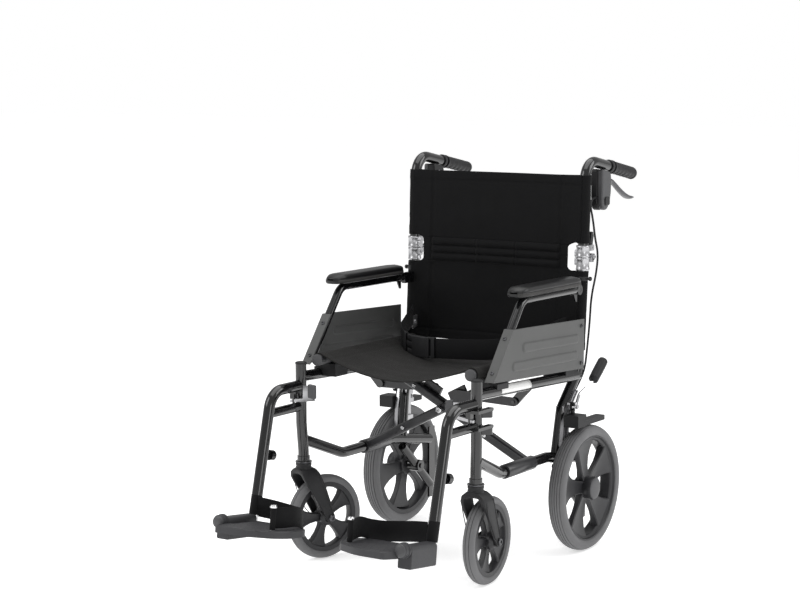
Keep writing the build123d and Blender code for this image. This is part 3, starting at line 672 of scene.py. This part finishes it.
for name, side in sides.items():
    start, end = handle["grip"]
    rings = []
    stations = [start + (end - start) * k / 70 for k in range(71)]
    for y in stations:
        share = (y - start) / (end - start)
        body = handle["radius"] - 1.2
        if share < 0.05:
            body += 1.2
        if share > 0.93:
            body -= 7 * ((share - 0.93) / 0.07) ** 2
        ring = []
        for k in range(40):
            turn = 2 * pi * k / 40
            under = max(0, -sin(turn)) ** 1.5
            wave = (1 - cos(2 * pi * handle["fingers"] * min(max((share - 0.12) / 0.76, 0), 1))) / 2
            rib = 0.35 * (1 if int(share * 40) % 2 else 0) * (1 - under)
            r = body - rib - 2.6 * under * (1 - wave) * (0.12 < share < 0.9)
            ring.append(onHandle(side, y) + vec(1, 0, 0) * r * cos(turn) + lift * r * sin(turn))
        rings.append(ring)
    piece = newPiece(f"handGrip_{name}", loft(rings), "rubberBlack", f"upper_back_{name}", angle=45)
    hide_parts(f"grip_{name}")
    collar = lathe([(12.6, -5), (15.5, -5), (16, -3.5), (16, 4), (15, 5), (12.6, 5)],
                   onHandle(side, handle["collar"]),
                   vec(1, 0, 0), lift, slope, 40)
    newPiece(f"gripCollar_{name}", collar, "mouldedDark", f"upper_back_{name}")

brakeHousing = {
    "outline": [(352, 906), (396, 898), (400, 880), (399, 846), (392, 822), (378, 806), (362, 806),
                (353, 820)],
    "inner": (-16, 1.5), "outer": (1.5, 15.5), "screws": [(374, 884), (378, 832)],
}
brakeLever = {
    "line": [(384, 856), (398, 872), (418, 875), (440, 865), (466, 850), (492, 837), (516, 829),
             (534, 828)],
    "half": [7, 7.5, 7.5, 7.5, 8, 9.5, 12.5, 8], "tall": 4.6,
}
for name, side in sides.items():
    outline = roundedOutline(brakeHousing["outline"], 9)

    def placed(a, b, c):
        return vec(side * handle["x"] + side * c, a, b)
    low, high = brakeHousing["inner"]
    inner = newPiece(f"brakeHousing_{name}", prism(outline, low, high, placed), "mouldedDark",
                     f"upper_back_{name}")
    eased(inner, 3.0, 3)
    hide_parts(f"brake_clamp_{name}")
    low, high = brakeHousing["outer"]
    cover = newPiece(f"brakeCover_{name}",
                     prism([(a * 0.985 + 5.6, b * 0.985 + 12.8) for a, b in outline], low, high, placed),
                     "mouldedGrey", f"upper_back_{name}")
    eased(cover, 4.0, 3)
    button = prism(roundedOutline([(364, 838), (386, 838), (386, 818), (364, 818)], 6), 14, 19, placed)
    eased(newPiece(f"brakeButton_{name}", button, "mouldedDark", f"upper_back_{name}"), 1.4, 2)
    screws = [hexBolt(vec(side * (handle["x"] - 16), y, z), vec(-side, 0, 0), 4.2, 2.4)
              for y, z in brakeHousing["screws"]]
    barrel = lathe([(2.6, 0), (4.6, 0), (4.6, 5), (5.4, 6), (5.4, 14), (4.0, 16), (2.6, 16)],
                   vec(side * 237, 356, 838),
                   vec(1, 0, 0), vec(0, 0, 1), vec(0, 1, 0), 28)
    newPiece(f"brakeBarrel_{name}", joined(screws + [barrel]), "silverPaint", f"upper_back_{name}")
    # lever: flattened bar that swells at its rounded end
    widths = brakeLever["half"]
    spots = smoothLine([vec(side * handle["x"], y, z) for y, z in brakeLever["line"]], 6)
    rings = []
    for i, spot in enumerate(spots):
        ahead = (spots[min(i + 1, len(spots) - 1)] - spots[max(i - 1, 0)]).normalized()
        up = ahead.cross(vec(1, 0, 0)).normalized()
        at = i / 6
        low = int(min(at, len(widths) - 2))
        part = at - low
        half = widths[low] * (1 - part) + widths[low + 1] * part
        tall = brakeLever["tall"] if at < 6.2 else brakeLever["tall"] - (at - 6.2) * 2.2
        rings.append([spot + vec(1, 0, 0) * half * cos(2 * pi * k / 20) + up * tall * sin(2 * pi * k / 20)
                      for k in range(20)])
    lever = newPiece(f"brakeLever_{name}", loft(rings), "leverGrey", f"brake_lever_{name}",
                     angle=45)
    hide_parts(f"brake_lever_{name}")

print("stage: armrests and side guards")

armPad = {"front": -59, "rear": 224, "low": 639, "high": 661, "inner": 222, "outer": 273, "crown": 1.5}
guard = {"low": 461, "high": 570, "frontLow": (-142, 471), "frontHigh": (-20, 629), "thick": 2.4,
         "ahead": 12.7,
         "x": 258.8, "rear": 255.5, "rearLow": 440, "rearHigh": 558,
         "ribs": ((-26, 524, 216, 515), (-71, 486, 213, 476)), "ribHeight": 2.6}
lean = Vector((0, guard["frontHigh"][0] - guard["frontLow"][0],
               guard["frontHigh"][1] - guard["frontLow"][1])).normalized()


def guardFront(z):
    return guard["frontLow"][0] - guard["ahead"] + (z - guard["frontLow"][1]) * lean.y / lean.z + 0.4


for name, side in sides.items():
    rings = []
    count = 48
    for i in range(count + 1):
        t = i / count
        y = armPad["front"] + (armPad["rear"] - armPad["front"]) * t
        nose = min(1, (y - armPad["front"]) / 34)
        tail = min(1, (armPad["rear"] - y) / 26)
        pull = 17 * (1 - (1 - (1 - nose) ** 2) ** 0.5) + 9 * (1 - (1 - (1 - tail) ** 2) ** 0.5)
        drop = 9 * (1 - nose) ** 2.2 + 3 * (1 - tail) ** 2.2
        a, b = armPad["inner"] + pull, armPad["outer"] - pull * 0.8
        low, high = armPad["low"], armPad["high"] - drop
        mid = low + 10
        half = (b - a) / 2
        section = [(a + 3, low), (a + 0.6, low + 2), (a, low + 5), (a, mid - 1.2), (a + 1.3, mid),
                   (a + 0.5, mid + 1.4), (a + 1.5, high - 5),
                   (a + 4, high - 1.6), (a + 9, high - 0.2), (a + half, high + armPad["crown"]),
                   (b - 9, high - 0.2), (b - 4, high - 1.6),
                   (b - 1.5, high - 5), (b - 0.5, mid + 1.4), (b - 1.3, mid), (b, mid - 1.2), (b, low + 5),
                   (b - 0.6, low + 2), (b - 3, low)]
        rings.append([vec(side * px, y, pz) for px, pz in section])
    pad = newPiece(f"armCushion_{name}", loft(rings), ["padSkin", "padBand"], f"arm_{name}",
                   angle=60)
    for polygon in pad.data.polygons:
        height = (polygon.center.z / mm - armPad["low"]) if abs(polygon.normal.z) < 0.5 else 0
        polygon.material_index = 1 if 2.5 < height < 9 and abs(polygon.normal.x) > 0.6 else 0
    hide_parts(f"arm_pad_{name}")

    # guard sheet with two pressed ribs and its folded front strip
    rows = []
    stepsUp, stepsAlong = 90, 170
    for i in range(stepsUp + 1):
        z = guard["low"] + (guard["high"] - guard["low"]) * i / stepsUp
        row = []
        for k in range(stepsAlong + 1):
            t = k / stepsAlong
            front = guardFront(z)
            y = front + (guard["rear"] - front) * t
            atRear = guard["rearLow"] + (guard["rearHigh"] - guard["rearLow"]) * i / stepsUp
            height = z + t * (atRear - z)
            push = 0
            for ya, za, yb, zb in guard["ribs"]:
                along = max(0, min(1, (y - ya) / (yb - ya)))
                away = hypot(y - (ya + (yb - ya) * along), height - (za + (zb - za) * along))
                push = max(push, guard["ribHeight"] * max(0, min(1, (10.5 - away) / 1.8)))
            row.append((vec(side * (guard["x"] + push), y, height), (y * mm, height * mm)))
        rows.append(row)
    panel = clothPiece(f"sideGuard_{name}", rows, "guardGrey", guard["thick"], f"arm_{name}")
    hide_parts(f"side_panel_{name}")
    strip = []
    for z in (guard["low"], guard["high"]):
        front = guardFront(z)
        strip.append([vec(side * x, front + dy, z) for x,
                      dy in ((236, -0.6), (260.2, -0.6), (260.2, 2.4), (236, 2.4))])
    strip = newPiece(f"guardStrip_{name}", loft(strip), "guardGrey", f"arm_{name}")
    eased(strip, 0.8)
    ahead = vec(0, -lean.z, lean.y)
    bolts = [hexBolt(vec(side * 247, guardFront(z) - 0.2, z), ahead, 4.6, 3) for z in (480, 550)]
    bolts += [hexBolt(vec(side * 261.5, y, z), vec(side, 0, 0), 4.5, 2.6) for y,
              z in ((240, 543), (240, 455))]
    newPiece(f"guardBolts_{name}", joined(bolts), "darkSteel", f"arm_{name}")
    # web at the rear of the arm, and the latch ring with its knob on the post
    web = prism([(216, 629), (238, 629), (238, 600), (232, 600)], -1.6, 1.6, lambda a, b,
                c: vec(side * (247.5 + c), a, b))
    newPiece(f"armWeb_{name}", web, "paintedTube", f"arm_{name}")
    ring = lathe([(13, -5), (14.6, -5), (15.4, -3.5), (15.4, 3.5), (14.6, 5), (13, 5)],
                 vec(side * 237, 283, 650), vec(1, 0, 0), vec(0, 1, 0), vec(0, 0, 1), 40)
    knob = lathe([(0.05, 0), (3, 0), (3, 5), (5.2, 6), (5.2, 10), (4, 11.5), (0.05, 12)],
                 vec(side * 251, 283, 650),
                 vec(0, 1, 0), vec(0, 0, 1), vec(side, 0, 0), 28)
    newPiece(f"postRing_{name}", joined([ring, knob]), "mouldedDark", f"frame_{name}")

print("stage: footrests")

footplate = {
    "top": 146, "skirt": 130, "deck": 4.0, "hinge": (0, -444, 148), "tilt": -7.0, "middle": (146, -468),
    "outline": [(222, -540), (150, -538), (87, -505), (66, -470), (66, -416), (84, -396), (216, -396),
                (216, -487), (233, -487), (233, -504)],
    "rounds": [9, 22, 14, 12, 12, 12, 8, 1, 1, 8], "rib": (133, 143), "ribHalf": 1.2,
}
footTube = {"top": (237, -367, 190), "run": (0, -58, -228), "radius": 9.6}
tilt = Matrix.Rotation(radians(footplate["tilt"]), 3, "X")


def tilted(points):
    # turns points of the level plate to the angle it stands at
    pin = Vector(footplate["hinge"])
    return [pin + tilt @ (Vector(p) - pin) for p in points]


def drawnIn(outline, share):
    # outline pulled towards the middle of the plate
    midX, midY = footplate["middle"]
    return [(x + (midX - x) * share, y + (midY - y) * share) for x, y in outline]


for name, side in sides.items():
    outline = roundedOutline(footplate["outline"], footplate["rounds"], 6)
    inner = drawnIn(outline, 0.055)
    top, skirt = footplate["top"], footplate["skirt"]

    def at(p, z):
        return vec(side * p[0], p[1], z)

    def rib(xLow, xHigh, yLow, yHigh):
        corners = [(xLow, yLow), (xHigh, yLow), (xHigh, yHigh), (xLow, yHigh)]
        return prism(corners, *footplate["rib"], lambda a, b, c: vec(side * a, b, c))
    # skirt, rounded rim, then a shallow groove round the deck
    rings = [[at(p, skirt) for p in inner], [at(p, skirt) for p in outline],
             [at(p, top - 2) for p in outline]]
    for share, rise in ((0.03, 0), (0.06, 0), (0.065, -0.8), (0.09, -0.8), (0.095, 0)):
        rings.append([at(p, top + rise) for p in drawnIn(outline, share)])
    points, faces = loft(rings, capped=False)
    count = len(outline)
    faces.append(tuple(range((len(rings) - 1) * count, len(rings) * count)))
    under = len(points)
    points += [at(p, top - footplate["deck"]) for p in inner]
    faces += [(k, (k + 1) % count, under + (k + 1) % count, under + k) for k in range(count)]
    faces.append(tuple(under + k for k in range(count)))
    ribs = []
    for k in range(5):
        x = 90 + 28 * k
        span = (-470, -412) if x < 95 else (-506 if x < 130 else -528, -404)
        ribs.append(rib(x - footplate["ribHalf"], x + footplate["ribHalf"], *span))
    for k in range(4):
        y = -510 + 30 * k
        span = (112 if k == 0 else 82, 212)
        ribs.append(rib(*span, y - footplate["ribHalf"], y + footplate["ribHalf"]))
    treads = []
    for k in range(9):
        y = -522 + 14 * k
        reach = 108 if k < 1 else (94 if k < 3 else 80)
        treads.append(pipe([vec(side * x, y, top - 0.3) for x in (reach, 204)], 1.1, 8))
    barrel = lathe([(6.4, -31), (14, -31), (15.4, -29), (15.4, -18.5), (17, -17.5), (17, -13.2),
                    (15, -12.5), (6.4, -12.5)],
                   vec(side * 240, -474, 148), vec(1, 0, 0), vec(0, 0, 1), vec(0, 1, 0), 48)
    whole = joined([(points, faces)] + ribs + treads + [barrel])
    plate = newPiece(f"footDeck_{name}", (tilted(whole[0]), whole[1]), "footGrey", f"footplate_{name}")
    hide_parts(f"footplate_{name}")
    cap = dome(vec(side * 240, -504.5, 148), vec(0, -1, 0), 14, 5.5)
    newPiece(f"hingeCap_{name}", (tilted(cap[0]), cap[1]), "mouldedGrey", f"footplate_{name}")
    # fixed block of the plate's hinge on the end of the chromed tube
    block = prism(roundedOutline([(223, 108), (257, 108), (257, 158), (223, 158)], [4, 4, 11, 11]), -485.5,
                  -386,
                  lambda a, b, c: vec(side * a, c, b))
    hingeBlock = newPiece(f"hingeBlock_{name}", (tilted(block[0]), block[1]), "footGrey", f"foot_{name}")
    eased(hingeBlock, 1.5, 2)
    x, y, z = footTube["top"]
    r = footTube["radius"]
    tip, down = vec(side * x, y, z), Vector(footTube["run"]).normalized()
    shape = pipe([tip - down * 120, tip + down * 60, tip + down * 62], [r, r, r - 1], 32)
    tube = newPiece(f"footTube_{name}", shape, "chrome", f"foot_{name}")
    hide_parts(f"foot_tube_{name}")
    u, v, w = vec(1, 0, 0), vec(0, 1, 0), vec(0, 0, 1)
    stud = lathe([(0.05, 0), (6, 0), (6, 2), (3, 3), (3, 49), (7.5, 50), (8, 53), (6, 56), (0.05, 57)],
                 vec(side * 102, -490, 145), u, v, w, 28)
    newPiece(f"strapStud_{name}", (tilted(stud[0]), stud[1]), "chrome", f"footplate_{name}")

print("stage: bolts and small fittings")

for name, side in sides.items():
    # bolts, caps, label, grip and channel of the parking brake, tab of the release lever
    bolts = [hexBolt(vec(side * 239, y, rail + 24), vec(side, 0, 0.2), 5, 3) for y,
             rail in ((-103, 434), (216, 423))]
    bolts += [hexBolt(vec(side * 221, 334, z), vec(side, 0, 0), 6, 4) for z in (88, 226)]
    bolts.append(hexBolt(vec(side * 257, 226, 352), vec(side, 0, 0), 5.5, 3.5))
    newPiece(f"frameBolts_{name}", joined(bolts), "chrome", f"frame_{name}")
    cap = dome(vec(side * 237, -196, 469), vec(0, 0, 1), 13.4, 5, 1.5)
    newPiece(f"postCap_{name}", cap, "mouldedDark", f"frame_{name}")
    rings = []
    for i in range(13):
        y = -108 + 133 * i / 12
        z = 438 + (y + 196) / 464 * (421 - 438)
        rings.append([vec(side * 237 + 12.95 * cos(radians(k)) * side, y, z + 12.95 * sin(radians(k)))
                      for k in range(-25, 76, 10)])
    label = newPiece(f"blankLabel_{name}", loft(rings, closed=False, capped=False), "blankLabel",
                     f"frame_{name}", angle=60)
    thin = label.modifiers.new("thickness", "SOLIDIFY")
    thin.thickness = 0.25 * mm
    settled(label)
    seatCap = dome(vec(side * 207, -173, 476), vec(0, -1, 0), 13.4, 4.5, 3)
    newPiece(f"seatRailCap_{name}", seatCap, "mouldedGrey", f"brace_{name}")
    lean = Vector((0, 47, 37.5)).normalized()
    u, v, w = across(lean)
    profile = [(4.2, -3), (10, -3), (11.8, -1), (12.2, 6), (12.6, 30), (12.4, 52), (12.2, 61), (10.8, 64.5),
               (7, 67), (0.1, 67.5), (0.1, 61)]
    holder = lathe(profile, vec(side * 261, 303, 406.5), u, v, w, 36)
    newPiece(f"parkGrip_{name}", holder, "rubberBlack", f"park_lever_{name}", angle=50)
    spine = [vec(side * 244, 245, 386), vec(side * 238, 226, 352), vec(side * 235, 212, 318),
             vec(side * 234, 206, 284), vec(side * 233, 203, 258)]
    rings = []
    for spot in smoothLine(spine, 4):
        rings.append([spot + vec(a, b, 0) for a,
                      b in ((-5, -9), (4, -9), (4, -6), (-2, -6), (-2, 6), (4, 6), (4, 9), (-5, 9))])
    newPiece(f"parkChannel_{name}", loft(rings), "silverPaint", f"frame_{name}")
    pads = prism(roundedOutline([(176, 394), (196, 396), (196, 428), (176, 426)], 4), -228, -219, lambda a,
                 b, c: vec(side * a, c, b))
    tab = newPiece(f"leverTab_{name}", pads, "mouldedGrey", f"swing_lever_{name}")
    eased(tab, 2.0, 3)

brace = {"middle": {"left": 43, "right": 65.6}, "height": 350, "slope": atan2(112, 218)}
for name, side in sides.items():
    midY, angle = brace["middle"][name], brace["slope"]
    along = vec(side * cos(angle), 0, sin(angle))

    def braceBolt(distance):
        return hexBolt(vec(0, midY - 11, brace["height"]) + along * distance, vec(0, -1, 0), 4.8, 3)
    centre = hexBolt(vec(0, midY - 18, brace["height"]), vec(0, -1, 0), 8, 5)
    heads = [braceBolt(-120), braceBolt(200), centre if name == "left" else braceBolt(100)]
    newPiece(f"braceBolts_{name}", joined(heads), "chrome", f"brace_{name}")

print("stage: seat")

seatCloth = {
    "rail": (207, 476), "wrap": 14.0, "leave": 23.5, "low": 445.0, "front": -167, "rear": 230,
    "hem": 24, "seam": 175, "thick": 2.2, "start": -65,
}


def seatSection():
    # half section from under the rail to the middle, as x and z
    cx, cz = seatCloth["rail"]
    r = seatCloth["wrap"]
    spots = []
    for k in range(15):
        turn = radians(seatCloth["start"] + (90 + seatCloth["leave"] - seatCloth["start"]) * k / 14)
        spots.append((cx + r * cos(turn), cz + r * sin(turn)))
    lastX, lastZ = spots[-1]
    for k in range(1, 45):
        x = lastX * (1 - k / 44)
        spots.append((x, seatCloth["low"] + (lastZ - seatCloth["low"]) * (x / lastX) ** 2))
    return spots


half = seatSection()
section = [(x, z) for x, z in half] + [(-x, z) for x, z in reversed(half[:-1])]
lengths = [0.0]
for (xa, za), (xb, zb) in zip(section, section[1:]):
    lengths.append(lengths[-1] + hypot(xb - xa, zb - za))
rows = []
for i in range(91):
    y = seatCloth["front"] + (seatCloth["rear"] - seatCloth["front"]) * i / 90
    edge = min(y - seatCloth["front"], seatCloth["rear"] - y)
    row = []
    for (x, z), u in zip(section, lengths):
        free = max(0, 1 - abs(x) / 190)
        lump = 2.4 * noise.noise(vec(x / 90, y / 34, 3.1)) + 1.1 * noise.noise(vec(x / 34 + y / 60, y / 26,
            9.7))
        pull = 1.6 * max(0, abs(x) / 200 - 0.5) * sin(y / 9.5 + x / 40)
        z += (lump * free ** 0.5 + pull * (abs(x) < 196)) * min(1, edge / 30 + 0.25)
        if abs(abs(x) - seatCloth["seam"]) < 3:
            z -= 0.9
        if edge < seatCloth["hem"]:
            z += 0.9
        if abs(edge - seatCloth["hem"]) < 2.4:
            z -= 0.9
        z -= 7 * free * max(0, 1 - edge / 60) * 0.4
        row.append((vec(x, y, z), (u * mm, y * mm)))
    rows.append(row)
seat = clothPiece("seatCloth", rows, "seatNylon", seatCloth["thick"])
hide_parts("seat_sling")
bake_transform(seat)


def ribbon(line, bottoms, width, thick):
    # band standing on its edge along a line; bottoms gives the height of its lower edge
    rings, uvs = [], []
    run = 0.0
    for i, spot in enumerate(line):
        ahead = line[min(i + 1, len(line) - 1)] - line[max(i - 1, 0)]
        out = vec(ahead.y, -ahead.x, 0).normalized()
        if i:
            run += (spot - line[i - 1]).length
        t = thick / 2
        profile = [(-t * 0.5, 0), (-t, 1.2), (-t, width * 0.5), (-t, width - 1.2), (-t * 0.5, width),
                   (t * 0.5, width), (t, width - 1.2),
                   (t, width * 0.5), (t, 1.2), (t * 0.5, 0)]
        rings.append([vec(spot.x, spot.y, 0) + out * a + vec(0, 0, bottoms[i] + b) for a, b in profile])
        uvs += [(run * mm, b * mm) for a, b in profile]
    return loft(rings), uvs


lapBelt = {
    "plan": [(-216, 246), (-204, 214), (-191, 170), (-174, 128), (-140, 104), (-90, 94), (0, 88), (80, 91),
             (140, 106), (176, 138), (192, 180), (204, 214), (216, 246)],
    "low": [512, 505, 492, 478, 464, 458, 462, 466, 473, 483, 494, 505, 512],
    "width": 48, "thick": 2.4, "buckle": (-150, -52),
}
line = smoothLine([(x, y, 0) for x, y in lapBelt["plan"]], 8)
bottoms = [p.x for p in smoothLine([(z, 0, 0) for z in lapBelt["low"]], 8)]
shape, uvs = ribbon(line, bottoms, lapBelt["width"], lapBelt["thick"])
belt = newPiece("lapBelt", shape, ["webbing", "mouldedDark"], None, uvs, angle=50)
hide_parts("lap_belt")
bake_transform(belt)


def beltPoint(x):
    spots = sorted(line, key=lambda p: abs(p.x - x))
    index = line.index(spots[0])
    return spots[0].y, bottoms[index]


def buckleSlab(xLow, xHigh, zLow, zHigh, thick, bulge):
    rings = []
    for k in range(9):
        x = xLow + (xHigh - xLow) * k / 8
        y, floorZ = beltPoint(x)
        swell = bulge * sin(pi * k / 8)
        section = roundedOutline([(-thick - swell, zLow - swell), (thick + swell, zLow - swell),
                                  (thick + swell, zHigh + swell), (-thick - swell, zHigh + swell)], 3, 3)
        rings.append([vec(x, y + a, floorZ + b) for a, b in section])
    return loft(rings)


# side-release buckle: socket, tongue with its prongs, bars for the webbing
first, last = lapBelt["buckle"]
# from x, to x, bottom, top, half thickness, bulge
slabs = [
    (first + 30, last - 22, 1, 49, 5.6, 1.2), (first, first + 9, 0, 50, 5.4, 0.5),
    (first + 14, first + 31, 2, 14, 4.6, 0.3), (first + 14, first + 31, 36, 48, 4.6, 0.3),
    (first + 8, first + 31, 19, 31, 3.4, 0.2), (last - 24, last - 16, 0, 50, 6.4, 0.6),
    (last - 10, last, 0, 50, 5.2, 0.4), (last - 18, last - 8, 0, 6, 4.2, 0.1),
    (last - 18, last - 8, 44, 50, 4.2, 0.1),
]
buckle = newPiece("beltBuckle", joined([buckleSlab(*one) for one in slabs]), "mouldedDark", None)
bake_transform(buckle)
for name, side in sides.items():
    anchor = prism(roundedOutline([(240, 500), (262, 506), (262, 536), (240, 530)], 5), 213.5, 215.5,
                   lambda a, b, c: vec(side * c, a, b))
    newPiece(f"beltAnchor_{name}",
             joined([anchor, hexBolt(vec(side * 214, 252, 518), vec(-side, 0, 0), 5, 3)]), "silverPaint",
             f"frame_{name}")

print("stage: back")

backCloth = {
    "low": 480, "high": 893, "notch": (669, 731), "notchX": 203, "edge": 237, "sleeve": 15.2, "sag": 14,
    "seam": 180, "ribs": (672, 728), "ribX": 182, "strip": 56, "thick": 2.0,
}


def postY(z):
    return 268 + 19 * (z - 430) / 270 if z < 703 else 287 + 8 * (z - 706) / 224


def backY(x, z):
    # front face of the back cloth
    edge = backCloth["edge"]
    y = postY(z) - backCloth["sleeve"] + backCloth["sag"] * (1 - min(1, abs(x) / edge) ** 2)
    y += 2.2 * noise.noise(vec(x / 120, 5.5, z / 60)) * (1 - (x / 240) ** 2)
    y += 1.0 * noise.noise(vec(x / 30, 2.5, z / 90)) * min(1, max(0, (238 - abs(x)) / 50))
    if abs(abs(x) - backCloth["seam"]) < 2.6:
        y += 1.3
    elif 0 < abs(x) - backCloth["seam"] < 9:
        y -= 0.6
    return y


def backHalf(z):
    # half width of the cloth at height z, with the round notch at the hinge
    low, high = backCloth["notch"]
    deep = backCloth["edge"] - backCloth["notchX"]
    away = max(low - z, z - high)
    if away <= 0:
        near = min(z - low, high - z)
        return backCloth["notchX"] + deep * 0.25 * max(0, 1 - near / 8) ** 2
    return backCloth["notchX"] + deep * min(1, 0.25 + 0.75 * (away / 9)) if away < 9 else backCloth["edge"]


def backRows(low, high, steps, xs=None, relief=None):
    rows = []
    for i in range(steps + 1):
        z = low + (high - low) * i / steps
        w = backHalf(z)
        row = []
        for s in xs or [-1 + 2 * k / 120 for k in range(121)]:
            x = s * w if xs is None else max(-w, min(w, s))
            y = backY(x, z)
            if relief:
                y += relief(x, z)
            row.append((vec(x, y, z), (x * mm, z * mm)))
        rows.append(row)
    return rows


def hemRelief(x, z):
    low, high = backCloth["low"], backCloth["high"]
    edge = min(z - low, high - z)
    return (-0.8 if edge < 22 else 0) + (1.2 if abs(edge - 23) < 2.4 else 0)


def ribRelief(x, z):
    # three padded channels across the fold
    low, high = backCloth["ribs"]
    if abs(x) > backCloth["ribX"]:
        return 0
    share = (z - low) / (high - low) * 3
    fade = min(1, (backCloth["ribX"] - abs(x)) / 6)
    return -5.0 * abs(sin(pi * share)) ** 0.7 * fade


ribLow, ribHigh = backCloth["ribs"]
lower = clothPiece("backLower", backRows(backCloth["low"], ribLow, 64, None, hemRelief), "backNylon",
                   backCloth["thick"], "frame_right")
upper = clothPiece("backUpper", backRows(ribHigh, backCloth["high"], 56, None, hemRelief), "backNylon",
                   backCloth["thick"], "upper_back_right")
strip = backCloth["strip"]
middle = clothPiece("backRibsMiddle",
                    backRows(ribLow, ribHigh, 42, [-strip + 2 * strip * k / 16 for k in range(17)],
                             ribRelief),
                    "backNylon", backCloth["thick"], "frame_right")
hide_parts("back_lower")
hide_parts("back_upper")
for piece, height in ((lower, 0.58), (upper, 0.81), (middle, 0.7)):
    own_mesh(piece)
for name, side in sides.items():
    span = [side * (strip + (237 - strip) * k / 56) for k in range(57)]
    ribs = clothPiece(f"backRibs_{name}", backRows(ribLow, ribHigh, 42, span, ribRelief), "backNylon",
                      backCloth["thick"])
    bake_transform(ribs)

for name, side in sides.items():
    for part, low, high, body in (("Lower", backCloth["low"], 667, f"frame_{name}"),
                                  ("Upper", 733, backCloth["high"], f"upper_back_{name}")):
        r = backCloth["sleeve"]
        rings, uvs = [], []
        steps = int((high - low) / 5)
        for i in range(steps + 1):
            z = low + (high - low) * i / steps
            ring = []
            for k in range(28):
                turn = 2 * pi * k / 28
                bulge = r + 0.5 * noise.noise(vec(turn * 1.5, side, z / 22)) - (0.6
                    if min(z - low, high - z) > 20 else 0)
                ring.append(vec(side * 237 + bulge * cos(turn), postY(z) + bulge * sin(turn), z))
                uvs.append((turn * r * mm, z * mm))
            rings.append(ring)
        newPiece(f"sleeve{part}_{name}", loft(rings), "backNylon", body, uvs, angle=60)
        rows = []
        for i in range(steps + 1):
            z = low + (high - low) * i / steps
            row = []
            for k in range(13):
                t = k / 12
                x = 237 - 57 * t
                rear = postY(z) + r
                y = rear + (backY(x, z) + 3.2 - rear) * (1 - (1 - t) ** 1.6)
                row.append((vec(side * x, y, z), (x * mm, z * mm)))
            rows.append(row)
        clothPiece(f"sleeveLap{part}_{name}", rows, "backNylon", 1.6, body)

print("stage: heel loops")

heelLoop = {
    "plan": [(226, -377), (190, -371), (150, -366), (112, -372), (92, -394), (87, -425), (93, -456),
             (102, -481)],
    "low": [144, 140, 134, 131, 137, 148, 151, 153.5], "width": 46, "thick": 2.4,
}
for name, side in sides.items():
    line = smoothLine([(side * x, y, 0) for x, y in heelLoop["plan"]], 8)
    bottoms = [p.x for p in smoothLine([(z, 0, 0) for z in heelLoop["low"]], 8)]
    band, uvs = ribbon(line, bottoms, heelLoop["width"], heelLoop["thick"])
    eye = lathe([(4, 0), (6.2, 0), (6.2, 46), (4, 46)], vec(side * 102, -490, 148), vec(1, 0, 0),
                vec(0, 1, 0), vec(0, 0, 1), 24)
    eye = (tilted(eye[0]), eye[1])
    x, y, z = footTube["top"]
    down = Vector(footTube["run"]).normalized()
    u, v, w = across(-down)
    sleeve = lathe([(10, -26), (12.4, -26), (12.8, -20), (12.8, 18), (12.4, 22), (10, 22)],
                   vec(side * x, y, z) + down * 18, u, v, w, 32)
    allUvs = uvs + [(0.01, 0.01)] * (len(eye[0]) + len(sleeve[0]))
    loop = newPiece(f"heelLoop_{name}", joined([band, eye, sleeve]), "webbing", None, allUvs,
                    angle=50)
    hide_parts(f"heel_loop_{name}")
    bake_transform(loop)
